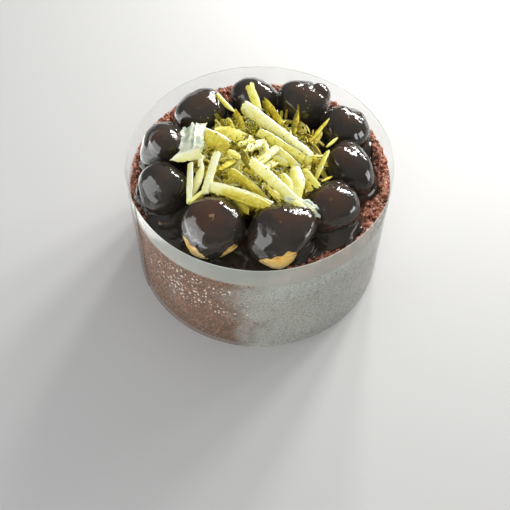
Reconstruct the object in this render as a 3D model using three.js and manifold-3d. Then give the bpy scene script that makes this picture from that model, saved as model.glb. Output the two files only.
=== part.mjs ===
// Profiterole cake: a round crumb-coated cake in a clear film collar, with a ring of
// ten chocolate-glazed choux puffs round a heap of white chocolate shavings.
// Millimetres, +Z up. Origin: centre of the cake's flat base. The side that is seen
// from the front faces -Y.
import * as THREE from "three";
import { mergeVertices } from "three/addons/utils/BufferGeometryUtils.js";
import Module from "manifold-3d";

const wasm = await Module();
wasm.setup();

// ---- driving dimensions ------------------------------------------------------
const GAP = 0.3; // clearance between pieces that touch

const COLLAR_OUTER_R = 100; // outside of the film's single layer
const COLLAR_HEIGHT = 108;
const FILM_T = 0.35; // film thickness
const SEAM_START_DEG = 207; // the film's outer end
const SEAM_LAP_DEG = 17; // how far the outer end laps over the inner one
const SEAM_EASE_DEG = 9; // where the film eases out over its own end
const FILM_STEPS = 100; // along the strip, laps included

const CAKE_R = 98.3; // crumb-coated side
const CAKE_TOP = 88; // level top under the puffs
const CAKE_EDGE_R = 5; // rounding of the top edge
const CAKE_FOOT_R = 2.5; // rounding at the base
const SIDE_WAVE = 0.5; // unevenness of the side
const BANK_INNER_R = 88; // where the bank of crumbs starts
const BANK_SIDES = 64;

// Height of the crumb bank above the top, by direction in degrees.
const BANK = [
  [-180, 2.2], [-140, 0.4], [-100, -0.6], [-70, -0.6], [-45, 1.2], [-25, 4.6],
  [0, 6.6], [20, 6.4], [45, 4.0], [75, 2.6], [110, 3.0], [140, 3.4], [165, 3.0], [180, 2.2],
];

// Choux puffs: [direction deg, distance from the axis, radius, flatness, seed]
const PUFFS = [
  [-117.0, 69.4, 23.4, 0.96, 1], // front left
  [-75.2, 69.6, 22.4, 0.96, 2], // front right
  [-39.8, 67.4, 20.9, 0.95, 3],
  [-4.0, 67.6, 20.3, 0.97, 4],
  [27.6, 73.4, 19.2, 0.95, 5],
  [61.0, 71.0, 21.4, 0.97, 6],
  [94.2, 67.2, 20.2, 0.98, 7],
  [133.2, 69.2, 21.4, 0.94, 8],
  [168.0, 72.2, 19.4, 0.96, 9],
  [-161.8, 72.6, 19.6, 0.97, 10],
];
const PUFF_SEAT = 0.82; // height of a puff's centre over the cake's top, in radii
const PUFF_LON = 24;
const PUFF_LAT = 11;
const PUFF_LUMP = 0.038; // unevenness, as a share of the radius

// Heap of shavings: [radius, height] up its side
const HEAP_BASE = CAKE_TOP + GAP;
const HEAP_TOP = 131.6;
const HEAP_SIDE = [
  [41, HEAP_BASE], [43.5, 97], [47.5, 105.5], [53.5, 113], [54.5, 118], [49.5, 122.4], [41, 126.2], [27, 129.4], [11, HEAP_TOP],
];
const HEAP_LON = 40;
const HEAP_RAGGED = 3.2;
const HEAP_CLEAR = 0.5; // from the puffs

const rad = THREE.MathUtils.degToRad;

// ---- helpers -----------------------------------------------------------------
// Smooth sum of a few waves, between about -1 and 1.
function wave(a, b, seed) {
  return (
    0.45 * Math.sin(2 * a + 1.7 * seed + 0.6 * b) +
    0.3 * Math.sin(3 * a - 2.3 * seed + 1.9 * b) +
    0.25 * Math.sin(5 * a + 0.9 * seed * seed + 3.1 * b)
  );
}

function along(table, x) {
  for (let i = 1; i < table.length; i++)
    if (x <= table[i][0]) {
      const [x0, y0] = table[i - 1], [x1, y1] = table[i];
      const t = (x - x0) / (x1 - x0);
      return y0 + (y1 - y0) * t * t * (3 - 2 * t);
    }
  return table[table.length - 1][1];
}

function bare(geometry) {
  const g = geometry.clone();
  g.deleteAttribute("normal");
  g.deleteAttribute("uv");
  return mergeVertices(g, 1e-4);
}

function solid(geometry) {
  const g = bare(geometry);
  return new wasm.Manifold(
    new wasm.Mesh({
      numProp: 3,
      vertProperties: new Float32Array(g.attributes.position.array),
      triVerts: new Uint32Array(g.index.array),
    }),
  );
}

function geometryOf(manifold) {
  const m = manifold.getMesh();
  const v = new Float32Array(m.numVert * 3);
  for (let i = 0; i < m.numVert; i++)
    v.set(m.vertProperties.subarray(i * m.numProp, i * m.numProp + 3), i * 3);
  const g = new THREE.BufferGeometry();
  g.setAttribute("position", new THREE.BufferAttribute(v, 3));
  g.setIndex(new THREE.BufferAttribute(new Uint32Array(m.triVerts), 1));
  g.computeVertexNormals();
  return g;
}

// A lathe about Z from [r, z] pairs that start and end on the axis, bottom first.
function lathe(profile, sides, change) {
  const g = new THREE.LatheGeometry(
    profile.map(([r, z]) => new THREE.Vector2(r, z)),
    sides,
  );
  g.rotateX(Math.PI / 2); // the lathe's Y becomes Z
  const p = g.attributes.position;
  const v = new THREE.Vector3();
  for (let i = 0; i < p.count; i++) {
    v.fromBufferAttribute(p, i);
    if (change) change(v);
    p.setXYZ(i, v.x, v.y, v.z);
  }
  return bare(g);
}

const material = (color, roughness, extra = {}) =>
  new THREE.MeshStandardMaterial({ color, roughness, metalness: 0, ...extra });

const CRUMB = material(0x5a2a1f, 0.95);
const GLAZE = material(0x1d110c, 0.12);
const SHAVING = material(0xe6dfa6, 0.55);
const FILM = material(0xe9eeeb, 0.08, { transparent: true, opacity: 0.3 });

const cake = new THREE.Group();
function add(name, geometry, mat) {
  const mesh = new THREE.Mesh(geometry, mat);
  mesh.name = name;
  cake.add(mesh);
  return mesh;
}

// ---- the cake's body: flat base, upright side, a bank of crumbs round the top -------
function bodyProfile() {
  const pts = [[0, 0], [48, 0], [CAKE_R - CAKE_FOOT_R, 0]];
  pts.push([CAKE_R - 0.6, 0.9], [CAKE_R, CAKE_FOOT_R]);
  for (const z of [22, 44, 66]) pts.push([CAKE_R, z]);
  for (let i = 0; i <= 4; i++) {
    const a = (i / 4) * (Math.PI / 2);
    pts.push([
      CAKE_R - CAKE_EDGE_R + CAKE_EDGE_R * Math.cos(a),
      CAKE_TOP - CAKE_EDGE_R + CAKE_EDGE_R * Math.sin(a),
    ]);
  }
  pts.push([90.5, CAKE_TOP], [BANK_INNER_R, CAKE_TOP], [44, CAKE_TOP], [0, CAKE_TOP]);
  return pts;
}

const body = lathe(bodyProfile(), BANK_SIDES, (v) => {
  const r = Math.hypot(v.x, v.y);
  if (r < 1) return;
  const a = Math.atan2(v.y, v.x);
  const deg = (a * 180) / Math.PI;
  // the bank lifts the top edge, and fades out inwards and down the side
  const out = THREE.MathUtils.smoothstep(r, BANK_INNER_R, 94);
  const up = THREE.MathUtils.smoothstep(v.z, 60, CAKE_TOP - CAKE_EDGE_R);
  v.z += along(BANK, deg) * out * up;
  if (r > CAKE_R - 3 && v.z > 1) {
    const k = 1 + ((SIDE_WAVE * wave(a, v.z / 30, 3)) - SIDE_WAVE * 0.4) / r;
    v.x *= k;
    v.y *= k;
  }
});
add("cake_body", body, CRUMB);

// ---- the puffs: flat-seated balls, pressed flat where two of them meet ---------------
const puffs = PUFFS.map(([deg, rho, r, flat, seed]) => ({
  c: new THREE.Vector3(
    rho * Math.cos(rad(deg)),
    rho * Math.sin(rad(deg)),
    CAKE_TOP + PUFF_SEAT * r,
  ),
  r,
  flat,
  seed,
}));

function puffGeometry(index, grow) {
  const { c, r, flat, seed } = puffs[index];
  const g = bare(new THREE.SphereGeometry(1, PUFF_LON, PUFF_LAT));
  g.rotateX(Math.PI / 2); // poles on Z
  const p = g.attributes.position;
  const d = new THREE.Vector3();
  const around = puffs
    .filter((o, i) => i !== index)
    .map((o) => {
      const n = new THREE.Vector3(o.c.x - c.x, o.c.y - c.y, 0);
      const dist = n.length();
      return { n: n.normalize(), at: (dist * r) / (r + o.r) - GAP / 2 - 0.05, dist };
    })
    .filter((o) => o.dist < 60);
  for (let i = 0; i < p.count; i++) {
    d.fromBufferAttribute(p, i).normalize();
    const lon = Math.atan2(d.y, d.x);
    let len = r * (1 + PUFF_LUMP * wave(lon, 2 * d.z, seed)) + grow;
    const x = d.clone().multiplyScalar(len);
    x.z *= flat;
    for (const { n, at } of around) {
      const reach = x.dot(n);
      if (reach > at + grow) x.multiplyScalar((at + grow) / reach);
    }
    x.add(c);
    if (grow === 0) x.z = Math.max(x.z, CAKE_TOP + GAP);
    p.setXYZ(i, x.x, x.y, x.z);
  }
  return g;
}

PUFFS.forEach((_, i) => {
  add("profiterole_" + String(i + 1).padStart(2, "0"), puffGeometry(i, 0), GLAZE);
});

// ---- the heap of shavings: a ragged mound, cut clear of the puffs ---------------------
const heapProfile = [[0, HEAP_BASE], [22, HEAP_BASE], ...HEAP_SIDE, [0, HEAP_TOP + 0.6]];
let heap = solid(
  lathe(heapProfile, HEAP_LON, (v) => {
    const r = Math.hypot(v.x, v.y);
    if (r < 6 || v.z < HEAP_BASE + 0.1) return;
    const a = Math.atan2(v.y, v.x);
    const side = THREE.MathUtils.smoothstep(r, 8, 40); // the middle of the top stays even
    const k = 1 + (HEAP_RAGGED * side * wave(2 * a, v.z / 9, 5)) / r;
    v.x *= k;
    v.y *= k;
    v.z += 1.3 * side * wave(2 * a, r / 14, 2);
  }),
);
puffs.forEach((_, i) => {
  heap = heap.subtract(solid(puffGeometry(i, HEAP_CLEAR)));
});
heap = heap
  .decompose()
  .sort((a, b) => b.volume() - a.volume())[0];
add("shavings_heap", geometryOf(heap), SHAVING);

// ---- the collar: one strip of clear film that laps over its own end --------------------
function filmRadius(turn) {
  // turn: degrees from the inner end; the outer end is SEAM_LAP_DEG past a full turn
  const t = THREE.MathUtils.smoothstep(turn, 360 - SEAM_EASE_DEG, 360);
  return COLLAR_OUTER_R - FILM_T / 2 + (FILM_T + GAP + 0.05) * t;
}
const outer = [], inner = [];
for (let i = 0; i <= FILM_STEPS; i++) {
  const at = ((360 + SEAM_LAP_DEG) * i) / FILM_STEPS;
  const a = rad(SEAM_START_DEG - SEAM_LAP_DEG + at);
  const r = filmRadius(at);
  outer.push(new THREE.Vector2((r + FILM_T / 2) * Math.cos(a), (r + FILM_T / 2) * Math.sin(a)));
  inner.push(new THREE.Vector2((r - FILM_T / 2) * Math.cos(a), (r - FILM_T / 2) * Math.sin(a)));
}
const strip = new THREE.Shape([...outer, ...inner.reverse()]);
add(
  "film_collar",
  new THREE.ExtrudeGeometry(strip, { depth: COLLAR_HEIGHT, bevelEnabled: false }),
  FILM,
);

export default cake;
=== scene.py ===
import math

import bpy
import numpy as np
from mathutils import Matrix, Vector
from mathutils.bvhtree import BVHTree


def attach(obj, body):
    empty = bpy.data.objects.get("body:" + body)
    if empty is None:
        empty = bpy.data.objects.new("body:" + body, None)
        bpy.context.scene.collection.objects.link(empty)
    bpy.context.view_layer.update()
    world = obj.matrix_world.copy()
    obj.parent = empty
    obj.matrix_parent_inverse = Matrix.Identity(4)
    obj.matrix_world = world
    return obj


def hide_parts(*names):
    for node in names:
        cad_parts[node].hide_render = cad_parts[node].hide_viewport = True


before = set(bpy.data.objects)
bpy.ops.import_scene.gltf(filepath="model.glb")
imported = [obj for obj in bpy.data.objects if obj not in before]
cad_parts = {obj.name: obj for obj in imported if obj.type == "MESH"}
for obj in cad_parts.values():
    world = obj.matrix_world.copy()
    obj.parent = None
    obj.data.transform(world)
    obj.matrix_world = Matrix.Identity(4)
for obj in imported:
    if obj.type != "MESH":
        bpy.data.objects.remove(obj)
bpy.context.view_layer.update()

TOP = 88.0  # level top of the cake
BODY_R = 98.3
FILM_R = 100.0
FILM_H = 108.0
SEAM_START, SEAM_LAP, SEAM_EASE = 207.0, 17.0, 9.0

# direction deg, distance from the axis, radius, flatness, seed
PUFFS = [
    (-117.0, 69.4, 23.4, 0.96, 1),
    (-75.2, 69.6, 22.4, 0.96, 2),
    (-39.8, 67.4, 20.9, 0.95, 3),
    (-4.0, 67.6, 20.3, 0.97, 4),
    (27.6, 73.4, 19.2, 0.95, 5),
    (61.0, 71.0, 21.4, 0.97, 6),
    (94.2, 67.2, 20.2, 0.98, 7),
    (133.2, 69.2, 21.4, 0.94, 8),
    (168.0, 72.2, 19.4, 0.96, 9),
    (-161.8, 72.6, 19.6, 0.97, 10),
]
SEAT = 0.82
CENTRES = np.array(
    [
        (rho * math.cos(math.radians(a)), rho * math.sin(math.radians(a)), TOP + SEAT * r)
        for a, rho, r, _, _ in PUFFS
    ]
)

# crumb bank over the top: direction deg, height
BANK = [
    (-180, 2.2), (-140, 0.4), (-100, -0.6), (-70, -0.6), (-45, 1.2), (-25, 4.6),
    (0, 6.6), (20, 6.4), (45, 4.0), (75, 2.6), (110, 3.0), (140, 3.4), (165, 3.0), (180, 2.2),
]
# how far out the poured glaze runs: direction deg, distance from the axis
POOL = [
    (-180, 90.0), (-165, 95.8), (-157, 91.5), (-150, 94.0), (-142, 96.5), (-125, 97.4),
    (-104, 97.2), (-92, 96.6), (-82, 93.0), (-75, 88.0), (-69, 85.4), (-63, 84.0),
    (-54, 86.8), (-48, 89.1), (-42, 90.6), (-36, 90.8), (-30, 85.0), (-20, 80.5),
    (-11, 86.8), (-2, 87.2), (8, 88.6), (20, 92.1), (31, 92.0), (42, 84.0), (52, 87.0),
    (62, 91.5), (72, 86.0), (80, 80.5), (94, 87.0), (106, 82.5), (118, 84.0), (133, 91.0),
    (148, 85.0), (154, 82.5), (168, 92.0), (180, 90.0),
]


# ---------------------------------------------------------------- numbers and noise
def along(table, deg):
    """Smooth curve through (deg, value) pairs that meets itself at +-180."""
    xs = np.array([t[0] for t in table], float)
    ys = np.array([t[1] for t in table], float)
    deg = (np.asarray(deg, float) + 180.0) % 360.0 - 180.0
    k = np.clip(np.searchsorted(xs, deg, side="right") - 1, 0, len(xs) - 2)
    t = (deg - xs[k]) / (xs[k + 1] - xs[k])
    t = t * t * (3 - 2 * t)
    return ys[k] + (ys[k + 1] - ys[k]) * t


def step01(x, a, b):
    t = np.clip((np.asarray(x, float) - a) / (b - a), 0, 1)
    return t * t * (3 - 2 * t)


def hashed(i, j, k, seed):
    h = (i * 374761393 + j * 668265263 + k * 1442695041 + seed * 1274126177) & 0xFFFFFFFF
    h = ((h ^ (h >> 13)) * 1103515245) & 0xFFFFFFFF
    h = ((h ^ (h >> 15)) * 2246822519) & 0xFFFFFFFF
    return h ^ (h >> 16)


def noise(p, size, seed=0):
    """Smooth noise in space, about -1 to 1, with features of the given size in mm."""
    q = np.asarray(p, float) / size
    base = np.floor(q).astype(np.int64)
    f = q - base
    u = f * f * f * (f * (f * 6 - 15) + 10)
    out = np.zeros(len(q))
    for dx in (0, 1):
        wx = u[:, 0] if dx else 1 - u[:, 0]
        for dy in (0, 1):
            wy = u[:, 1] if dy else 1 - u[:, 1]
            for dz in (0, 1):
                wz = u[:, 2] if dz else 1 - u[:, 2]
                h = hashed(base[:, 0] + dx, base[:, 1] + dy, base[:, 2] + dz, seed)
                g = (
                    ((h & 1023) / 511.5 - 1) * (f[:, 0] - dx)
                    + (((h >> 10) & 1023) / 511.5 - 1) * (f[:, 1] - dy)
                    + (((h >> 20) & 1023) / 511.5 - 1) * (f[:, 2] - dz)
                )
                out += wx * wy * wz * g
    return out * 1.7


def grain(p, size, seed=0):
    """Rounded grains packed in space: 1 at a grain's middle, 0 in the gaps."""
    q = np.asarray(p, float) / size
    base = np.floor(q).astype(np.int64)
    near = np.full(len(q), 9.0)
    for dx in (-1, 0, 1):
        for dy in (-1, 0, 1):
            for dz in (-1, 0, 1):
                c = base + np.array((dx, dy, dz))
                h = hashed(c[:, 0], c[:, 1], c[:, 2], seed)
                d = (
                    (c[:, 0] + (h & 1023) / 1023.0 - q[:, 0]) ** 2
                    + (c[:, 1] + ((h >> 10) & 1023) / 1023.0 - q[:, 1]) ** 2
                    + (c[:, 2] + ((h >> 20) & 1023) / 1023.0 - q[:, 2]) ** 2
                )
                near = np.minimum(near, d)
    return np.clip(1 - near / 0.72, 0, 1)


def smin(a, b, k):
    h = np.clip(0.5 + 0.5 * (b - a) / k, 0, 1)
    return b + (a - b) * h - k * h * (1 - h)


def smax(a, b, k):
    return -smin(-a, -b, k)


# ---------------------------------------------------------------- meshes
def build(name, verts, faces, mats, smooth=True, sharp=None, which=None, tone=None):
    """A mesh object from points in mm and lists of equal-sided faces. tone: a shade for each point."""
    groups = [np.asarray(f, np.int32) for f in (faces if isinstance(faces, list) else [faces])]
    groups = [g for g in groups if len(g)]
    me = bpy.data.meshes.new(name)
    v = np.ascontiguousarray(np.asarray(verts, np.float32) / 1000.0)
    me.vertices.add(len(v))
    me.vertices.foreach_set("co", v.ravel())
    loops = np.concatenate([g.ravel() for g in groups])
    totals = np.concatenate([np.full(len(g), g.shape[1], np.int32) for g in groups])
    starts = np.concatenate([[0], np.cumsum(totals)[:-1]]).astype(np.int32)
    me.loops.add(len(loops))
    me.loops.foreach_set("vertex_index", loops)
    me.polygons.add(len(totals))
    me.polygons.foreach_set("loop_start", starts)
    me.update(calc_edges=True)
    me.validate()
    me.polygons.foreach_set("use_smooth", np.full(len(me.polygons), smooth))
    for m in mats if isinstance(mats, list) else [mats]:
        me.materials.append(m)
    if which is not None:
        me.polygons.foreach_set("material_index", np.asarray(which, np.int32))
    if sharp is not None:
        me.set_sharp_from_angle(angle=math.radians(sharp))
    if tone is not None:
        kept = me.attributes.new("tone", "FLOAT", "POINT")
        kept.data.foreach_set("value", np.asarray(tone, np.float32))
    me.update()
    ob = bpy.data.objects.new(name, me)
    bpy.context.scene.collection.objects.link(ob)
    return ob


def surface(field, lo, hi, step, rounds=3):
    """Closed quad surface where field(points) crosses zero, negative inside."""
    axes = [np.arange(lo[a], hi[a] + step, step) for a in range(3)]
    n = [len(a) for a in axes]
    grid = np.empty(n, np.float32)
    yy, zz = np.meshgrid(axes[1], axes[2], indexing="ij")
    flat = np.empty((yy.size * 8, 3))
    for i0 in range(0, n[0], 8):
        part = axes[0][i0 : i0 + 8]
        pts = flat[: len(part) * yy.size]
        pts[:, 0] = np.repeat(part, yy.size)
        pts[:, 1] = np.tile(yy.ravel(), len(part))
        pts[:, 2] = np.tile(zz.ravel(), len(part))
        grid[i0 : i0 + len(part)] = field(pts, step * 1.9).reshape(len(part), n[1], n[2])
    inside = grid < 0
    count = np.zeros([m - 1 for m in n], np.int8)
    corner = [(x, y, z) for x in (0, 1) for y in (0, 1) for z in (0, 1)]

    def cut(a, off):
        return a[
            off[0] : off[0] + n[0] - 1, off[1] : off[1] + n[1] - 1, off[2] : off[2] + n[2] - 1
        ]

    for c in corner:
        count += cut(inside, c)
    cell = np.nonzero((count > 0) & (count < 8))
    ids = np.full(count.shape, -1, np.int32)
    ids[cell] = np.arange(len(cell[0]))
    at = np.stack(cell, -1)
    total, hits = np.zeros((len(at), 3)), np.zeros(len(at))
    for a in corner:
        for axis in range(3):
            if a[axis]:
                continue
            b = list(a)
            b[axis] = 1
            va = grid[tuple((at + a).T)].astype(float)
            vb = grid[tuple((at + b).T)].astype(float)
            crosses = (va < 0) != (vb < 0)
            t = np.where(crosses, va / np.where(crosses, va - vb, 1), 0)
            p = np.repeat(np.array([a], float), len(at), 0)
            p[:, axis] += t
            total += p * crosses[:, None]
            hits += crosses
    verts = (at + total / hits[:, None]) * step + np.array([a[0] for a in axes])
    quads = []
    for axis in range(3):
        u, w = (axis + 1) % 3, (axis + 2) % 3
        first = [slice(None)] * 3
        second = [slice(None)] * 3
        first[axis], second[axis] = slice(0, n[axis] - 1), slice(1, n[axis])
        a, b = inside[tuple(first)], inside[tuple(second)]
        edge = np.stack(np.nonzero(a != b), -1)
        ok = (edge[:, u] > 0) & (edge[:, w] > 0) & (edge[:, u] < n[u] - 1) & (edge[:, w] < n[w] - 1)
        edge = edge[ok]
        out = a[tuple(edge.T)]
        ring = []
        for du, dw in ((-1, -1), (0, -1), (0, 0), (-1, 0)):
            e = edge.copy()
            e[:, u] += du
            e[:, w] += dw
            ring.append(ids[tuple(e.T)])
        q = np.stack(ring, -1)
        q[~out] = q[~out][:, ::-1]
        quads.append(q)
    for _ in range(rounds):
        h = 0.15
        f0 = field(verts, None)
        g = np.stack(
            [
                (field(verts + h * np.eye(3)[a], None) - field(verts - h * np.eye(3)[a], None)) / (2 * h)
                for a in range(3)
            ],
            -1,
        )
        move = f0[:, None] * g / np.maximum((g * g).sum(1), 0.2)[:, None]
        size = np.linalg.norm(move, axis=1, keepdims=True)
        verts = verts - move * np.minimum(1, 0.5 * step / np.maximum(size, 1e-9))
    return verts, np.concatenate(quads)


ICO = []
_t = (1 + 5**0.5) / 2
ICO_V = np.array(
    [(-1, _t, 0), (1, _t, 0), (-1, -_t, 0), (1, -_t, 0), (0, -1, _t), (0, 1, _t),
     (0, -1, -_t), (0, 1, -_t), (_t, 0, -1), (_t, 0, 1), (-_t, 0, -1), (-_t, 0, 1)]
) / math.sqrt(1 + _t * _t)
ICO_F = np.array(
    [(0, 11, 5), (0, 5, 1), (0, 1, 7), (0, 7, 10), (0, 10, 11), (1, 5, 9), (5, 11, 4),
     (11, 10, 2), (10, 7, 6), (7, 1, 8), (3, 9, 4), (3, 4, 2), (3, 2, 6), (3, 6, 8),
     (3, 8, 9), (4, 9, 5), (2, 4, 11), (6, 2, 10), (8, 6, 7), (9, 8, 1)]
)


def round_mesh(levels):
    """Points and faces of a ball of radius 1 made of even triangles."""
    v, f = ICO_V.copy(), ICO_F.copy()
    for _ in range(levels):
        e = np.sort(np.concatenate([f[:, [0, 1]], f[:, [1, 2]], f[:, [2, 0]]]), 1)
        pairs, back = np.unique(e, axis=0, return_inverse=True)
        back = back.ravel()
        mid = v[pairs].mean(1)
        mid /= np.linalg.norm(mid, axis=1, keepdims=True)
        m = back.reshape(3, -1).T + len(v)
        v = np.concatenate([v, mid])
        f = np.concatenate(
            [
                np.stack([f[:, 0], m[:, 0], m[:, 2]], 1),
                np.stack([f[:, 1], m[:, 1], m[:, 0]], 1),
                np.stack([f[:, 2], m[:, 2], m[:, 1]], 1),
                m,
            ]
        )
    return v, f


def turns(rng, n):
    """n random rotation matrices."""
    q = rng.normal(size=(n, 4))
    q /= np.linalg.norm(q, axis=1, keepdims=True)
    w, x, y, z = q.T
    return np.stack(
        [
            1 - 2 * (y * y + z * z), 2 * (x * y - z * w), 2 * (x * z + y * w),
            2 * (x * y + z * w), 1 - 2 * (x * x + z * z), 2 * (y * z - x * w),
            2 * (x * z - y * w), 2 * (y * z + x * w), 1 - 2 * (x * x + y * y),
        ],
        -1,
    ).reshape(n, 3, 3)


def bits(rng, at, size, jag=0.28, flat=(0.55, 1.0)):
    """Irregular grains: one knobbly lump for each place in at, size = radius of each."""
    n = len(at)
    v = ICO_V[None] * (1 + rng.uniform(-jag, jag, (n, 12, 1)))
    v = v * rng.uniform(flat[0], flat[1], (n, 1, 3)) * np.asarray(size)[:, None, None]
    v = np.einsum("nij,nkj->nki", turns(rng, n), v) + at[:, None]
    f = ICO_F[None] + (np.arange(n) * 12)[:, None, None]
    return v.reshape(-1, 3), f.reshape(-1, 3)


# ---------------------------------------------------------------- materials
def material(name, **sockets):
    m = bpy.data.materials.new(name)
    m.use_nodes = True
    b = m.node_tree.nodes["Principled BSDF"]
    for key, value in sockets.items():
        b.inputs[key.replace("_", " ")].default_value = value
    return m, m.node_tree, b


def node(t, kind, **settings):
    n = t.nodes.new(kind)
    for key, value in settings.items():
        if hasattr(n, key):
            setattr(n, key, value)
        else:
            n.inputs[key].default_value = value
    return n


def coordinates(t):
    return node(t, "ShaderNodeTexCoord").outputs["Object"]


def tex_noise(t, where, scale, detail=3.0, rough=0.55, distort=0.0):
    n = node(t, "ShaderNodeTexNoise")
    n.inputs["Scale"].default_value = scale
    n.inputs["Detail"].default_value = detail
    n.inputs["Roughness"].default_value = rough
    n.inputs["Distortion"].default_value = distort
    t.links.new(where, n.inputs["Vector"])
    return n.outputs["Fac"]


def tex_cells(t, where, scale, feature="F1"):
    n = node(t, "ShaderNodeTexVoronoi")
    n.feature = feature
    n.inputs["Scale"].default_value = scale
    t.links.new(where, n.inputs["Vector"])
    return n


def ramp(t, source, stops):
    n = node(t, "ShaderNodeValToRGB")
    e = n.color_ramp.elements
    while len(e) < len(stops):
        e.new(0.5)
    for item, (at, colour) in zip(e, stops):
        item.position = at
        item.color = (*colour, 1) if len(colour) == 3 else colour
    t.links.new(source, n.inputs["Fac"])
    return n.outputs["Color"]


def mixed(t, factor, a, b, how="MIX"):
    n = node(t, "ShaderNodeMix")
    n.data_type = "RGBA"
    n.blend_type = how
    for socket, value in ((n.inputs[0], factor), (n.inputs[6], a), (n.inputs[7], b)):
        if isinstance(value, bpy.types.NodeSocket):
            t.links.new(value, socket)
        else:
            socket.default_value = value
    return n.outputs[2]


def arith(t, how, a, b=None, clamp=False):
    n = node(t, "ShaderNodeMath")
    n.operation = how
    n.use_clamp = clamp
    for socket, value in zip(n.inputs, (a, b)):
        if isinstance(value, bpy.types.NodeSocket):
            t.links.new(value, socket)
        elif value is not None:
            socket.default_value = value
    return n.outputs[0]


def span(t, value, lo, hi, to_lo=0.0, to_hi=1.0):
    n = node(t, "ShaderNodeMapRange")
    n.interpolation_type = "SMOOTHSTEP"
    t.links.new(value, n.inputs["Value"])
    for key, x in (("From Min", lo), ("From Max", hi), ("To Min", to_lo), ("To Max", to_hi)):
        n.inputs[key].default_value = x
    return n.outputs["Result"]


def bump(t, b, height, distance, strength=1.0):
    n = node(t, "ShaderNodeBump")
    n.inputs["Distance"].default_value = distance
    n.inputs["Strength"].default_value = strength
    t.links.new(height, n.inputs["Height"])
    t.links.new(n.outputs["Normal"], b.inputs["Normal"])


def tone_of(t):
    return node(t, "ShaderNodeAttribute", attribute_name="tone").outputs["Fac"]


def crumb_material():
    """The coat of crumbs: one tone for each grain of about 1.6 mm, with painted shade where it lies deep."""
    m, t, b = material("cake_crumb", Roughness=0.75, Specular_IOR_Level=0.3)
    where = coordinates(t)
    cell = tex_cells(t, where, 620.0)
    colour = ramp(
        t,
        cell.outputs["Color"],
        [
            (0.0, (0.055, 0.020, 0.010)),
            (0.35, (0.175, 0.072, 0.036)),
            (0.62, (0.335, 0.155, 0.082)),
            (0.86, (0.520, 0.270, 0.165)),
            (1.0, (0.720, 0.440, 0.310)),
        ],
    )
    # painted shade from each point's tone: darker in the gaps between grains, near the base and on the top
    shade = ramp(t, tone_of(t), [(0.15, (0.30, 0.28, 0.27)), (0.85, (1.0, 1.0, 1.0))])
    t.links.new(mixed(t, 1.0, colour, shade, "MULTIPLY"), b.inputs["Base Color"])
    t.links.new(span(t, tex_noise(t, where, 900.0, 2.0), 0.3, 0.7, 0.55, 0.85), b.inputs["Roughness"])
    bump(t, b, tex_noise(t, where, 1300.0, 3.0), 0.0004, 0.7)
    return m


def loose_material():
    m, t, b = material("cake_crumb_loose", Roughness=0.75, Specular_IOR_Level=0.3)
    where = coordinates(t)
    colour = ramp(
        t,
        tone_of(t),
        [
            (0.0, (0.060, 0.018, 0.010)),
            (0.25, (0.260, 0.080, 0.046)),
            (0.55, (0.620, 0.225, 0.140)),
            (0.80, (0.880, 0.440, 0.310)),
            (1.0, (0.900, 0.620, 0.500)),
        ],
    )
    shade = ramp(t, tex_noise(t, where, 1100.0, 3.0), [(0.32, (0.55, 0.50, 0.47)), (0.62, (1.0, 1.0, 1.0))])
    t.links.new(mixed(t, 1.0, colour, shade, "MULTIPLY"), b.inputs["Base Color"])
    bump(t, b, tex_noise(t, where, 1700.0, 3.0), 0.0003, 0.7)
    return m


def glaze_material():
    m, t, b = material(
        "chocolate_glaze", Roughness=0.06, Specular_IOR_Level=0.58, Coat_Weight=0.12, Coat_Roughness=0.03
    )
    where = coordinates(t)
    wide = tex_noise(t, where, 42.0, 3.0, 0.5, 0.4)
    colour = ramp(
        t, wide, [(0.32, (0.0210, 0.0175, 0.0140)), (0.55, (0.0320, 0.0265, 0.0205)), (0.78, (0.0540, 0.0300, 0.0170))]
    )
    # thinner over the tops of the puffs, where the choux shows through brown
    apart = node(t, "ShaderNodeSeparateXYZ")
    t.links.new(where, apart.inputs[0])
    over = arith(t, "MULTIPLY", span(t, apart.outputs["Z"], 0.117, 0.126), span(t, tex_noise(t, where, 60.0, 2.0), 0.40, 0.60, 0.15, 0.75))
    t.links.new(mixed(t, over, colour, (0.0600, 0.0240, 0.0110, 1.0)), b.inputs["Base Color"])
    t.links.new(span(t, tex_noise(t, where, 130.0, 3.0), 0.35, 0.7, 0.020, 0.055), b.inputs["Roughness"])
    # fine crinkles of the skin, in patches
    patch = span(t, tex_noise(t, where, 70.0, 2.0), 0.48, 0.62)
    fold = arith(t, "ABSOLUTE", arith(t, "SUBTRACT", tex_noise(t, where, 290.0, 2.0, 0.5, 1.4), 0.5))
    fine = arith(t, "MULTIPLY", tex_noise(t, where, 300.0, 2.0, 0.4), 0.10)
    bump(t, b, arith(t, "ADD", arith(t, "MULTIPLY", fold, patch), fine), 0.0008, 0.40)
    return m


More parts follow.
